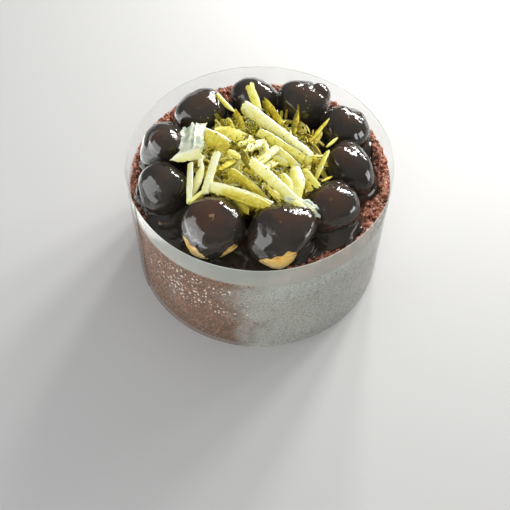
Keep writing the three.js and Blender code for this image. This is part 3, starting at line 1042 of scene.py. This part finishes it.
def shaving(a, b, width, rng, thick=1.1, bow=0.0, sway=0.0, curl=0.5, twist=0.0, lean=0.0,
            ends=(0.9, 0.85), ragged=0.05, segs=16, across=6, ridges=0.0, tone=0.0, torn=0.16):
    """One curled strip from a to b. curl bends it across its width, bow along its length.
    Gives its points, its faces and a shade for each point, with painted light: palest on its upper long edge and darker
    on its under face."""
    a, b = np.asarray(a, float), np.asarray(b, float)
    t = np.linspace(0, 1, segs + 1)
    axis = (b - a) / np.linalg.norm(b - a)
    up = np.array([0.0, 0.0, 1.0]) - axis * axis[2]
    up /= np.linalg.norm(up)
    sidew = np.cross(axis, up)
    arch = 4 * t * (1 - t)
    line = a + (b - a) * t[:, None] + up * (bow * arch)[:, None] + sidew * (sway * arch)[:, None]
    tang = np.gradient(line, axis=0)
    tang /= np.linalg.norm(tang, axis=1, keepdims=True)
    roll = lean + twist * (t - 0.5)
    n0 = up[None] - tang * (tang @ up)[:, None]
    n0 /= np.linalg.norm(n0, axis=1, keepdims=True)
    w0 = np.cross(tang, n0)
    w = w0 * np.cos(roll)[:, None] + n0 * np.sin(roll)[:, None]
    n = n0 * np.cos(roll)[:, None] - w0 * np.sin(roll)[:, None]
    reach = [0.16 if e > 0.6 else 0.45 for e in ends]
    shape = (ends[0] + (1 - ends[0]) * np.sin(np.clip(t / reach[0], 0, 1) * math.pi / 2)) * (
        ends[1] + (1 - ends[1]) * np.sin(np.clip((1 - t) / reach[1], 0, 1) * math.pi / 2)
    )

    def edge():
        slow = np.interp(t, np.linspace(0, 1, 6), rng.normal(size=6))
        return shape * (1 + ragged * (slow + 0.5 * rng.normal(size=segs + 1)))

    left, right = edge(), edge()
    s = np.linspace(-1, 1, across + 1)
    half = np.where(s[None] < 0, left[:, None], right[:, None]) * width / 2
    c = max(abs(curl), 1e-3)
    offw = half * np.sin(c * s)[None] / c
    offn = -np.sign(curl) * (width / 2) * (1 - np.cos(c * s))[None] / c * shape[:, None]
    ridge = ridges * rng.normal(size=across + 1)[None] * np.ones((segs + 1, 1))
    mid = line[:, None] + w[:, None] * offw[..., None] + n[:, None] * (offn + ridge)[..., None]
    # across the strip the outward direction turns with the curl
    turn = (c * s * np.sign(curl))[None, :, None]
    out = n[:, None] * np.cos(turn) + w[:, None] * np.sin(turn)
    thin = thick / 2 * (0.85 + 0.15 * np.cos(s * math.pi / 2))[None, :, None] * (0.6 + 0.4 * shape)[:, None, None]
    upper = mid + out * thin
    lower = mid - out * thin
    m = across + 1
    rows = segs + 1
    v = np.concatenate([upper.reshape(-1, 3), lower.reshape(-1, 3)])
    v = v + np.minimum(0.10, 0.02 * width) * rng.normal(size=v.shape)
    # painted light and shade: paler towards the upper long edge and on the upper face, darker on the under face
    lift = (mid[..., 2] - line[:, None, 2]) / max(width / 2, 1e-3)
    shade = np.clip(0.47 + tone + 0.16 * lift + rng.uniform(-0.08, 0.08), 0, 1).ravel()
    shade = np.concatenate([shade + 0.03, shade - 0.10])
    # torn ends: push the end rows in and out
    for row, sign in ((0, -1), (segs, 1)):
        push = rng.uniform(-0.6, 1.0, m) * width * torn
        for layer in (0, rows * m):
            v[layer + row * m : layer + row * m + m] += tang[row] * sign * push[:, None]
    q = []
    i = np.arange(segs)[:, None] * m
    j = np.arange(across)[None]
    q.append(np.stack([i + j, i + m + j, i + m + j + 1, i + j + 1], -1).reshape(-1, 4))
    o = rows * m
    q.append(np.stack([o + i + j, o + i + j + 1, o + i + m + j + 1, o + i + m + j], -1).reshape(-1, 4))
    i = np.arange(segs) * m
    q.append(np.stack([i, o + i, o + i + m, i + m], -1))
    q.append(np.stack([i + across, i + m + across, o + i + m + across, o + i + across], -1))
    j = np.arange(across)
    q.append(np.stack([j, j + 1, o + j + 1, o + j], -1))
    e = segs * m
    q.append(np.stack([e + j, o + e + j, o + e + j + 1, e + j + 1], -1))
    return v, np.concatenate(q), shade


# the pieces that show one by one: name, one end, the other end, width, how each curls and lies
BIG = [
    # the longest planks
    ("a", (-13.0, 43.6, 118.6), (36.6, -12.6, 123.0), 10.6, dict(curl=0.10, bow=0.8, lean=-1.08, thick=3.2, ridges=0.12, segs=26, tone=0.19, ends=(0.95, 0.95))),
    ("a2", (-1.5, 14.5, 121.0), (32.0, -12.0, 121.4), 8.4, dict(curl=0.10, bow=0.3, lean=-1.05, thick=2.4, ridges=0.10, tone=0.07, ends=(0.95, 0.9))),
    ("b", (12.6, -4.2, 124.5), (28.8, -19.2, 121.0), 5.6,dict(curl=0.10, bow=0.2, lean=-0.90, thick=2.8, tone=0.10, torn=0.1, ends=(0.95, 0.9))),
    ("c", (-6.2, -18.2, 126.0), (26.8, -51.0, 119.0), 7.6, dict(curl=0.12, bow=0.8, lean=-1.02, thick=2.9, ridges=0.12, segs=24, tone=0.20, ends=(0.75, 0.95))),
    ("c2", (19.0, -46.5, 120.0), (35.6, -58.4, 118.0), 5.2, dict(curl=0.2, bow=0.4, lean=-0.35, thick=1.6, tone=0.24, ragged=0.12, torn=0.4)),
    ("d", (-21.1, -22.9, 123.0), (5.0, -45.1, 121.0), 7.2, dict(curl=0.15, bow=0.5, lean=-0.95, thick=2.2, ends=(0.75, 0.22), tone=-0.08)),
    ("e", (-35.0, -39.0, 120.5), (8.1, -52.8, 118.0), 7.4, dict(curl=0.30, bow=0.9, sway=0.4, lean=-0.72, ends=(0.8, 0.6), thick=2.8, ridges=0.14, segs=24, tone=0.34, torn=0.25)),
    ("e3", (-25.0, -45.0, 116.8), (7.4, -56.0, 115.2), 8.4, dict(curl=0.22, bow=0.6, sway=0.6, lean=-1.00, ends=(0.5, 0.6), thick=2.0, ridges=0.2, segs=20, tone=0.06, torn=0.25, ragged=0.08)),
    ("e2", (-16.5, -47.0, 116.5), (-7.4, -55.8, 113.0), 7.6, dict(curl=0.3, lean=-0.70, ends=(0.9, 0.12), thick=1.5, tone=-0.12, ragged=0.1)),
    # broad chips and folded sheets at the left
    ("f", (-41.0, 11.5, 121.5), (-23.5, -3.0, 122.5), 10.5, dict(curl=0.12, lean=-0.62, thick=1.6, ends=(0.85, 0.6), tone=-0.18, ragged=0.06, torn=0.12)),
    ("f0", (-42.0, 19.0, 122.0), (-22.0, 4.5, 124.0), 4.2, dict(curl=0.4, bow=0.8, lean=-0.2, thick=1.5, ends=(0.5, 0.5), tone=0.22)),
    ("f2", (-32.0, 17.0, 121.5), (-13.0, 9.0, 123.0), 8.4, dict(curl=0.2, bow=0.4, lean=-0.25, thick=1.6, ends=(0.6, 0.7), tone=0.06, ragged=0.12, torn=0.3)),
    ("f3", (-50.0, 22.0, 120.5), (-51.0, -2.0, 118.5), 19.0, dict(curl=0.35, bow=1.2, lean=-0.32, tone=0.66, ragged=0.12, torn=0.16, thick=1.2, across=14, segs=22, ridges=0.95)),
    ("f4", (-46.5, 21.0, 123.0), (-46.5, 3.0, 121.5), 3.8, dict(curl=0.5, bow=0.8, lean=-0.75, tone=0.40, ragged=0.10, torn=0.3, thick=1.3)),
    ("f5", (-43.0, 20.5, 123.0), (-41.6, 1.8, 121.0), 4.6, dict(curl=0.3, bow=0.6, lean=-0.70, tone=0.16, ragged=0.10, thick=1.3)),
    ("g", (-64.1, -13.0, 118.5), (-43.0, -8.6, 122.0), 8.4, dict(curl=0.15, bow=0.6, lean=-0.85, ends=(0.06, 0.9), tone=0.40, thick=1.8, ragged=0.09)),
    ("g2", (-54.0, -6.0, 120.5), (-41.0, -5.0, 122.5), 4.4, dict(curl=0.2, lean=0.3, ends=(0.3, 0.7), tone=0.34, thick=1.4, torn=0.3)),
    # long pieces that come together at the front left
    ("h1", (-31.0, -11.0, 125.0), (-38.2, -43.8, 119.0), 6.6, dict(curl=0.12, bow=0.8, lean=-0.60, thick=2.4, tone=0.32)),
    ("h2", (-41.3, -14.6, 123.0), (-48.3, -39.0, 118.0), 7.0, dict(curl=0.2, bow=0.8, lean=-0.40, ends=(0.35, 0.2), thick=1.8, tone=0.36)),
    ("h2b", (-39.0, -29.5, 119.5), (-48.2, -40.0, 117.0), 4.6, dict(curl=0.3, lean=-0.2, ends=(0.2, 0.2), thick=1.3, tone=0.24)),
    ("h3", (-50.1, -15.8, 120.0), (-49.4, -48.1, 115.0), 4.6, dict(curl=0.12, bow=0.8, lean=-0.70, thick=1.9, tone=0.34)),
    ("h4", (-36.0, -38.0, 119.0), (-48.4, -49.1, 115.0), 3.4, dict(curl=0.2, lean=-0.3, thick=1.4, tone=0.24, torn=0.5, ragged=0.1)),
    ("p1", (-43.9, -4.4, 122.5), (-42.7, -13.9, 121.5), 4.2, dict(curl=0.2, lean=-0.2, thick=1.5, tone=0.34, ragged=0.12)),
    # two cream curls at the front right
    ("i", (16.0, -28.0, 124.5), (22.5, -47.0, 121.0), 8.0, dict(curl=1.0, bow=1.4, lean=-0.70, thick=1.6, tone=0.12, ends=(0.4, 0.4), across=8)),
    ("i2", (24.5, -22.5, 125.5), (25.5, -47.5, 121.5), 13.5, dict(curl=0.85, bow=1.6, lean=-0.40, thick=1.5, tone=0.10, ends=(0.5, 0.5), across=10, segs=20)),
    ("j", (21.0, -50.0, 119.5), (38.5, -57.5, 117.0), 11.5, dict(curl=0.25, bow=0.4, lean=-0.20, ragged=0.18, tone=0.66, torn=0.5, thick=1.1, ridges=0.6, across=10, segs=16)),
    ("j2", (23.7, -51.5, 118.0), (33.0, -60.0, 115.5), 5.0, dict(curl=0.3, lean=-0.3, ragged=0.2, tone=0.22, torn=0.6, thick=1.2)),
    # pieces that stand out at the back and the right; the low tones of k2 to k4b, k8 and k9 are painted shade
    ("k1", (-8.8, 61.0, 121.5), (-1.0, 38.4, 118.0), 6.4, dict(curl=0.35, lean=-0.35, ends=(1.0, 0.6), ragged=0.08, thick=1.8, torn=0.35, tone=0.12)),
    ("k2", (3.6, 51.0, 118.5), (16.4, 25.6, 117.0), 5.0, dict(curl=0.3, bow=0.6, lean=-0.7, tone=-0.24, ends=(0.5, 0.7), thick=1.5)),
    ("k3", (28.1, 39.7, 118.5), (23.7, 15.0, 117.0), 5.6, dict(curl=0.4, bow=0.4, lean=-0.5, tone=-0.42, ends=(0.25, 0.7), ragged=0.12)),
    ("k4", (51.5, 29.0, 121.5), (37.2, 9.6, 117.5), 4.2, dict(curl=0.3, bow=0.8, lean=-0.6, tone=-0.12, ends=(0.2, 0.6), ragged=0.12)),
    ("k4b", (46.0, 20.0, 119.0), (40.5, 9.0, 117.5), 4.0, dict(curl=0.3, lean=0.3, tone=-0.22, ends=(0.3, 0.6), ragged=0.12)),
    ("k5", (57.0, 10.0, 122.5), (49.0, 3.0, 120.0), 3.0, dict(curl=0.3, lean=-0.3, ends=(0.3, 0.3), tone=0.05)),
    ("k6", (48.6, -4.3, 121.5), (38.7, -30.5, 117.5), 6.4, dict(curl=0.25, bow=0.6, lean=-1.00, ends=(0.85, 0.3), thick=1.7, tone=0.06)),
    ("k7", (-33.8, 54.7, 118.5), (-20.0, 38.4, 116.0), 3.4, dict(curl=0.5, bow=0.6, sway=1.2, lean=-0.2, ends=(0.7, 0.4), tone=0.05)),
    ("k8", (19.8, 34.1, 116.5), (13.2, 29.5, 116.0), 2.6, dict(curl=0.3, lean=-0.4, ends=(0.3, 0.6), tone=-0.34)),
    ("k9", (1.5, 51.6, 116.5), (6.6, 36.1, 116.0), 2.8, dict(curl=0.3, lean=-0.8, ends=(0.4, 0.6), tone=-0.30)),
    # chips on the top
    ("l1", (-9.6, -5.0, 126.5), (1.4, 3.2, 127.5), 7.2, dict(curl=-0.3, lean=0.15, ragged=0.2, ends=(0.35, 0.6), tone=0.24, torn=0.5, thick=1.5)),
    ("l2", (-3.4, -19.0, 125.0), (12.8, -3.2, 127.5), 6.6, dict(curl=0.12, lean=0.18, thick=1.9, tone=0.22, torn=0.15)),
    ("l3", (2.6, 4.5, 126.0), (5.8, -6.1, 125.5), 3.6, dict(curl=0.3, lean=-0.2, ends=(0.5, 0.8), tone=0.20, torn=0.3)),
    ("l4", (31.8, -24.2, 121.5), (41.4, -36.8, 118.0), 4.4, dict(curl=0.25, lean=-0.3, tone=0.10, torn=0.3)),
    ("l4b", (28.0, -24.0, 121.0), (37.0, -38.0, 118.0), 3.8, dict(curl=0.25, lean=-0.5, tone=-0.05, torn=0.3)),
    ("l5", (35.7, -15.5, 121.5), (32.0, -27.6, 119.0), 4.2, dict(curl=0.3, lean=-0.4, tone=0.05, ends=(0.5, 0.8))),
    ("l6", (-23.2, -3.4, 122.5), (-13.8, -12.4, 124.0), 5.4, dict(curl=0.2, lean=-0.2, tone=0.02, ends=(0.5, 0.25))),
    ("l7", (-15.4, 1.0, 123.5), (-5.4, 5.6, 125.5), 4.4, dict(curl=0.3, lean=0.1, tone=0.14, ragged=0.12, torn=0.3)),
    ("l8", (1.0, -21.4, 124.0), (11.2, -15.0, 125.0), 6.4, dict(curl=0.15, lean=0.1, tone=0.16, torn=0.2)),
    ("m1", (15.5, 19.2, 121.5), (24.2, 8.5, 121.5), 3.8, dict(curl=0.2, lean=-0.6, tone=-0.02)),
    ("m2", (-13.9, -5.0, 121.5), (-6.5, -20.2, 122.5), 5.4, dict(curl=0.2, lean=-0.7, tone=-0.32, torn=0.3)),
    ("m3", (-29.1, -20.1, 119.5), (-18.4, -12.6, 120.5), 5.6, dict(curl=0.2, lean=0.3, tone=-0.30, torn=0.3)),
    ("m4", (24.2, 5.4, 122.5), (36.5, -6.8, 121.5), 4.2, dict(curl=0.2, lean=-0.55, thick=1.7, tone=0.06)),
    ("q1", (10.6, -10.2, 125.5), (19.9, -15.3, 124.0), 4.6, dict(curl=0.2, lean=-0.2, tone=0.16, ragged=0.15, torn=0.4)),
    ("n1", (44.1, -29.7, 117.0), (52.0, -25.0, 117.0), 2.4, dict(curl=0.4, lean=0.2, tone=-0.38, ends=(0.5, 0.3))),
    ("o1", (39.5, 7.2, 120.0), (44.6, -0.8, 118.5), 3.0, dict(curl=0.3, lean=-0.3, tone=-0.52, ends=(0.6, 0.6))),
    ("p2", (-19.6, 42.0, 116.5), (-12.6, 18.6, 118.5), 5.6, dict(curl=0.3, lean=-0.6, tone=-0.30, ends=(0.4, 0.8))),
    ("p3", (-25.0, 33.0, 116.5), (-19.3, 16.9, 117.5), 4.6, dict(curl=0.3, lean=-0.5, tone=-0.26, ends=(0.4, 0.8))),
]

# where the ground nuts lie thick: place, spread, share
NUT_HEAPS = [
    (-17.0, 3.0, 4.0, 6), (-9.0, -2.0, 4.5, 7), (1.0, 9.0, 5.0, 6), (18.0, 4.0, 4.5, 8), (27.0, -6.0, 5.0, 8),
    (10.0, -14.0, 4.5, 9), (4.0, -26.0, 5.0, 7), (33.0, -24.0, 5.0, 7), (24.0, 22.0, 6.0, 7), (8.0, 34.0, 6.0, 6),
    (-22.0, 24.0, 5.0, 5), (-30.0, 34.0, 6.0, 5), (18.0, -58.0, 4.5, 6), (26.0, -52.0, 4.0, 4), (38.0, 30.0, 8.0, 6),
    (-26.0, -18.0, 4.0, 4), (44.0, -12.0, 4.0, 4), (-4.0, 22.0, 5.0, 5),
]


def seated(a, b, lift, bow=0.0):
    """Ends of a stiff strip laid over the heap: it touches where the heap is highest under it."""
    a, b = np.array([*a, 0.0]), np.array([*b, 0.0])
    a[2], b[2] = heap_height(a[0], a[1]), heap_height(b[0], b[1])
    # ends may hang: never lower than the heap's edge level
    a[2], b[2] = max(a[2], 108.0), max(b[2], 108.0)
    t = np.linspace(0, 1, 25)
    line = a + (b - a) * t[:, None]
    over = line[:, 2] + bow * 4 * t * (1 - t) - heap_height(line[:, 0], line[:, 1])
    raise_by = max(0.0, -over.min()) + lift
    a[2] += raise_by
    b[2] += raise_by
    return a, b


def rested(a, b, width, thick, bow):
    """Ends of a piece with set places: raised where it would sink in, lowered where it hangs
    more than a layer of loose pieces over what carries it."""
    a, b = np.array(a, float), np.array(b, float)
    t = np.linspace(0, 1, 25)
    line = a + (b - a) * t[:, None]
    level = line[:, 2] + bow * 4 * t * (1 - t) - thick / 2
    cross = np.array([a[1] - b[1], b[0] - a[0]]) / np.linalg.norm((b - a)[:2]) * width / 2
    under = [heap_height(line[:, 0] + k * cross[0], line[:, 1] + k * cross[1]) for k in (-1, 0, 1)]
    low = (level - under[1]).min()
    hang = (level - np.maximum.reduce(under)).min()
    shift = -low - 0.2 if low < -0.2 else -max(0.0, hang - 4.0)
    a[2] += shift
    b[2] += shift
    return a, b


def build_shavings():
    rng = np.random.default_rng(7)
    vs, fs, tones, n = [], [], [], 0

    def keep(v, f, tone):
        nonlocal n
        vs.append(v)
        fs.append(f + n)
        tones.append(tone)
        n += len(v)

    for name, a, b, width, how in BIG:
        a, b = rested(a, b, width, how.get("thick", 1.1), how.get("bow", 0.0))
        keep(*shaving(a, b, width, rng, **how))
    shown = sum(len(f) for f in fs)
    # medium strips between and under the big ones, few at the back right, where their tones are lowered as painted
    # shade
    for _ in range(170):
        r = 47 * math.sqrt(rng.uniform(0, 1))
        th = rng.uniform(0, 2 * math.pi)
        x, y = r * math.cos(th), r * math.sin(th)
        length = rng.uniform(9, 24)
        d = rng.uniform(0, math.pi)
        ex, ey = length / 2 * math.cos(d), length / 2 * math.sin(d)
        if math.hypot(x + ex, y + ey) > 54 or math.hypot(x - ex, y - ey) > 54:
            continue
        behind = 0.5 * x + 0.87 * y
        if behind > 22 and rng.uniform() < 0.72:
            continue
        a, b = seated((x - ex, y - ey), (x + ex, y + ey), rng.uniform(-0.8, 1.4))
        tip = rng.uniform(-2.2, 2.2)
        a[2] += tip
        b[2] -= tip
        keep(
            *shaving(a, b, rng.uniform(2.2, 5.6), rng, thick=rng.uniform(0.9, 1.7), bow=rng.uniform(-0.5, 0.9),
                     sway=rng.uniform(-0.6, 0.6), curl=rng.choice([-1, 1]) * rng.uniform(0.08, 0.35),
                     lean=rng.uniform(-0.9, 0.6), twist=rng.uniform(-0.4, 0.4), ragged=0.08, segs=9, across=4,
                     ends=(rng.uniform(0.35, 1.0), rng.uniform(0.6, 1.0)), torn=0.32,
                     tone=rng.uniform(-0.42, 0.14) - (0.14 if behind > 22 else 0))
        )
    # narrow slivers at the back right, painted dark as shade
    for _ in range(26):
        x, y = rng.uniform(12, 46), rng.uniform(14, 44)
        if not 28 < math.hypot(x, y) < 52:
            continue
        length = rng.uniform(5, 12)
        d = rng.uniform(0.9, 2.5)
        ex, ey = length / 2 * math.cos(d), length / 2 * math.sin(d)
        a, b = seated((x - ex, y - ey), (x + ex, y + ey), rng.uniform(-0.2, 1.2))
        keep(
            *shaving(a, b, rng.uniform(1.3, 2.8), rng, thick=rng.uniform(0.7, 1.1), bow=rng.uniform(0, 0.8),
                     curl=rng.uniform(0.1, 0.4), lean=rng.uniform(-1.1, 0.2), twist=rng.uniform(-0.6, 0.6), ragged=0.14,
                     segs=7, across=3, ends=(rng.uniform(0.1, 0.5), rng.uniform(0.3, 0.8)), torn=0.35,
                     tone=rng.uniform(-0.66, -0.44))
        )
    # small flakes
    for _ in range(560):
        r = 49 * math.sqrt(rng.uniform(0, 1))
        th = rng.uniform(0, 2 * math.pi)
        x, y = r * math.cos(th), r * math.sin(th)
        behind = 0.5 * x + 0.87 * y
        if behind > 22 and rng.uniform() < 0.7:
            continue
        length = rng.uniform(2.2, 7.5)
        d = rng.uniform(0, math.pi)
        ex, ey = length / 2 * math.cos(d), length / 2 * math.sin(d)
        a, b = seated((x - ex, y - ey), (x + ex, y + ey), rng.uniform(-0.6, 1.6))
        keep(
            *shaving(a, b, rng.uniform(1.2, 3.4), rng, thick=rng.uniform(0.7, 1.3), curl=rng.uniform(0.1, 0.4),
                     lean=rng.uniform(-1, 1), twist=rng.uniform(-0.8, 0.8), ragged=0.16, segs=3, across=2,
                     ends=(rng.uniform(0.4, 1.0), rng.uniform(0.5, 1.0)), torn=0.35,
                     tone=rng.uniform(-0.60, 0.22))
        )
    v, f = np.concatenate(vs), np.concatenate(fs)
    ob = build("chocolate_shavings", v, f, SHAVING, sharp=26, tone=np.concatenate(tones))
    place(ob, "pale_shavings", "shavings_heap")
    return v, f, shown


def build_nuts(v, f, shown):
    """Ground pistachio dropped on the heap: it lands on whatever is under it, and mostly
    slides off the large pieces into the hollows."""
    rng = np.random.default_rng(19)
    tree = BVHTree.FromPolygons([tuple(x) for x in v.tolist()], [tuple(x) for x in f.tolist()])
    spots = []
    tries = 0
    share = np.array([h[3] for h in NUT_HEAPS], float)
    share /= share.sum()
    while len(spots) < 2300 and tries < 14000:
        tries += 1
        if rng.uniform() < 0.80:
            hx, hy, spread, _ = NUT_HEAPS[rng.choice(len(NUT_HEAPS), p=share)]
            x, y = rng.normal(hx, spread), rng.normal(hy, spread)
        else:
            x, y = rng.uniform(-48, 50), rng.uniform(-52, 48)
        if math.hypot(x, y) > 62:
            continue
        # few stay on the glaze outside the heap
        if math.hypot(x, y) > core_reach(math.atan2(y, x)) + 3 and rng.uniform() < 0.86:
            continue
        hit = tree.ray_cast(Vector((x, y, 160.0)), Vector((0, 0, -1)))
        z = float(heap_height(x, y))
        if hit[0] is not None and hit[0].z > z:
            z = hit[0].z
            if hit[2] < shown and rng.uniform() < 0.965:
                continue
        spots.append((x, y, z))
    spots = np.array(spots)
    size = rng.uniform(0.30, 0.70, len(spots)) + (rng.uniform(0, 1, len(spots)) > 0.86) * 0.35
    spots[:, 2] += size * 0.45
    nv, nf = bits(rng, spots, size)
    tone = np.clip(rng.normal(0.42, 0.26, len(spots)), 0, 1)
    ob = build("pistachio_crumbs", nv, nf, NUT, smooth=False, tone=np.repeat(tone, 12))
    place(ob, "pistachio")


# ---------------------------------------------------------------- the clear film
def film_radius(turn):
    t = step01(turn, 360 - SEAM_EASE, 360)
    return FILM_R - 0.175 + 0.70 * t


def build_film():
    steps, rows = 720, 30
    turn = np.linspace(0, 360 + SEAM_LAP, steps + 1)
    ang = np.radians(SEAM_START - SEAM_LAP + turn)
    z = np.concatenate([np.linspace(0, 107.4, rows - 1), [107.8, FILM_H]])
    tt, zz = np.meshgrid(turn, z, indexing="ij")
    aa = np.repeat(ang[:, None], len(z), 1)
    free = step01(zz, 88, 108)
    sway = 0.16 * np.sin(3 * aa + 0.7) * free + 0.10 * np.sin(7 * aa + 2.0 + zz / 40) * (0.3 + 0.7 * free)
    r = film_radius(tt) + sway * np.where((tt > 340) | (tt < 20), 0.3, 1.0) - 0.25 * free * 0
    half = 0.14
    m = len(z)
    out = np.stack([(r + half) * np.cos(aa), (r + half) * np.sin(aa), zz], -1).reshape(-1, 3)
    inn = np.stack([(r - half) * np.cos(aa), (r - half) * np.sin(aa), zz], -1).reshape(-1, 3)
    v = np.concatenate([out, inn])
    o = len(out)
    i = np.arange(steps)[:, None] * m
    j = np.arange(m - 1)[None]
    q = [
        np.stack([i + j, i + m + j, i + m + j + 1, i + j + 1], -1).reshape(-1, 4),
        np.stack([o + i + j, o + i + j + 1, o + i + m + j + 1, o + i + m + j], -1).reshape(-1, 4),
    ]
    i = np.arange(steps) * m
    q.append(np.stack([i, o + i, o + i + m, i + m], -1))
    t = m - 1
    q.append(np.stack([i + t, i + m + t, o + i + m + t, o + i + t], -1))
    j = np.arange(m - 1)
    q.append(np.stack([j, j + 1, o + j + 1, o + j], -1))
    e = steps * m
    q.append(np.stack([e + j, o + e + j, o + e + j + 1, e + j + 1], -1))
    ob = build("clear_film_collar", v, np.concatenate(q), FILM, sharp=40)
    place(ob, "clear_film", "film_collar")


# ---------------------------------------------------------------- floor, light, camera
def build_stage():
    me = bpy.data.meshes.new("floor")
    s = 6.0
    me.from_pydata([(-s, -s, 0), (s, -s, 0), (s, s, 0), (-s, s, 0)], [], [(0, 1, 2, 3)])
    m, t, b = material("floor_pale", Roughness=0.6, Specular_IOR_Level=0.25)
    b.inputs["Base Color"].default_value = (0.50, 0.50, 0.495, 1)
    me.materials.append(m)
    floor = bpy.data.objects.new("floor", me)
    floor.location.z = -0.0004
    bpy.context.scene.collection.objects.link(floor)


def area(name, at, aim, size, power, colour=(1, 1, 1), size_y=None):
    data = bpy.data.lights.new(name, "AREA")
    data.shape = "RECTANGLE"
    data.size = size
    data.size_y = size_y or size
    data.energy = power
    data.color = colour
    ob = bpy.data.objects.new(name, data)
    ob.location = at
    ob.rotation_euler = (Vector(aim) - Vector(at)).to_track_quat("-Z", "Y").to_euler()
    # no lamp is seen itself, from any side
    ob.visible_camera = False
    bpy.context.scene.collection.objects.link(ob)
    return ob


def build_light():
    # a row of tall soft boxes at the back right: direction deg, height, width, power
    for k, (deg, high, wide, power) in enumerate(
        [(30.0, 0.38, 0.10, 1.5), (44.0, 0.50, 0.13, 4.6), (59.0, 0.53, 0.13, 5.8), (75.0, 0.44, 0.10, 4.2)]
    ):
        a = math.radians(deg)
        # each in three panes
        for pane in (-1, 0, 1):
            area(
                "key_%d_%d" % (k + 1, pane + 2), (0.86 * math.cos(a), 0.86 * math.sin(a), high + 0.095 * pane),
                (0.0, 0.0, 0.07), wide, power / 3, (1.0, 0.985, 0.96), 0.055,
            )
    top = area("top_fill", (0.0, 0.1, 1.60), (0.0, 0.0, 0.05), 1.40, 5.0, (0.99, 1.0, 1.0))
    top.visible_glossy = False
    left = area("left_card", (-0.80, -0.36, 0.22), (-0.04, -0.02, 0.11), 0.55, 2.2, (0.96, 0.98, 1.0), 0.34)
    left.visible_glossy = False
    fill = area("front_fill", (-0.25, -1.40, 1.10), (0.0, 0.0, 0.05), 1.20, 11.0, (1.0, 0.99, 0.98), 0.9)
    fill.visible_glossy = False
    # a soft spot from the front that opens up the heap
    spot = bpy.data.lights.new("heap_fill", "SPOT")
    spot.energy, spot.spot_size, spot.spot_blend, spot.shadow_soft_size = 3.5, math.radians(13), 1.0, 0.12
    soft = bpy.data.objects.new("heap_fill", spot)
    soft.location = (-0.28, -0.62, 0.70)
    soft.rotation_euler = (Vector((-0.005, -0.01, 0.12)) - soft.location).to_track_quat("-Z", "Y").to_euler()
    soft.visible_glossy = False
    soft.visible_camera = False
    bpy.context.scene.collection.objects.link(soft)
    # low cards that only show in the gloss: one standing and one lying at the left, a narrow
    # one at the right
    for name, at, aim, wide, power, tall in (
        ("left_sheen", (-0.50, -0.20, 0.17), (0.0, 0.0, 0.10), 0.56, 1.9, 0.34),
        ("left_sheet", (-0.47, -0.16, 0.002), (-0.47, -0.16, 1.0), 0.66, 4.2, 0.66),
        ("right_sheen", (0.50, -0.10, 0.11), (0.0, 0.0, 0.10), 0.24, 0.55, 0.12),
    ):
        card = area(name, at, aim, wide, power, (0.97, 0.99, 1.0), tall)
        card.visible_diffuse = False
        card.visible_camera = False
        card.visible_transmission = False
    # a small warm lamp overhead that only glints in the glaze
    glint = area("warm_glint", (-0.11, 0.12, 1.20), (0.0, 0.0, 0.10), 0.20, 0.11, (1.0, 0.56, 0.22), 0.04)
    glint.visible_diffuse = False
    glint.visible_camera = False
    glint.visible_transmission = False
    world = bpy.data.worlds.new("studio")
    bpy.context.scene.world = world
    world.use_nodes = True
    t = world.node_tree
    back = t.nodes["Background"]
    apart = node(t, "ShaderNodeSeparateXYZ")
    t.links.new(node(t, "ShaderNodeTexCoord").outputs["Generated"], apart.inputs[0])
    t.links.new(
        ramp(t, apart.outputs["Z"], [(0.0, (0.18, 0.18, 0.185)), (0.35, (0.28, 0.285, 0.29)), (1.0, (0.36, 0.365, 0.37))]),
        back.inputs["Color"],
    )
    back.inputs["Strength"].default_value = 1.0


def build_camera():
    data = bpy.data.cameras.new("camera")
    data.sensor_width = 36.0
    data.lens = 57.09
    data.clip_start = 0.01
    data.clip_end = 50.0
    cam = bpy.data.objects.new("camera", data)
    right = Vector((0.99987784, 0.01478693, 0.00506447))
    up = Vector((-0.01505734, 0.82435164, 0.56587777))
    back = -Vector((-0.00419269, 0.5658849, -0.82447359))
    turn = Matrix((right, up, back)).transposed().to_4x4()
    turn.translation = Vector((0.0, -0.4001815, 0.5646778))
    cam.matrix_world = turn
    bpy.context.scene.collection.objects.link(cam)
    bpy.context.scene.camera = cam


bpy.context.scene.view_settings.view_transform = "Standard"
build_camera()
build_stage()
build_light()
build_body()
build_crumbs()
build_choux()
build_glaze()
build_core()
heap_v, heap_f, heap_shown = build_shavings()
build_nuts(heap_v, heap_f, heap_shown)
build_film()

bpy.context.view_layer.update()
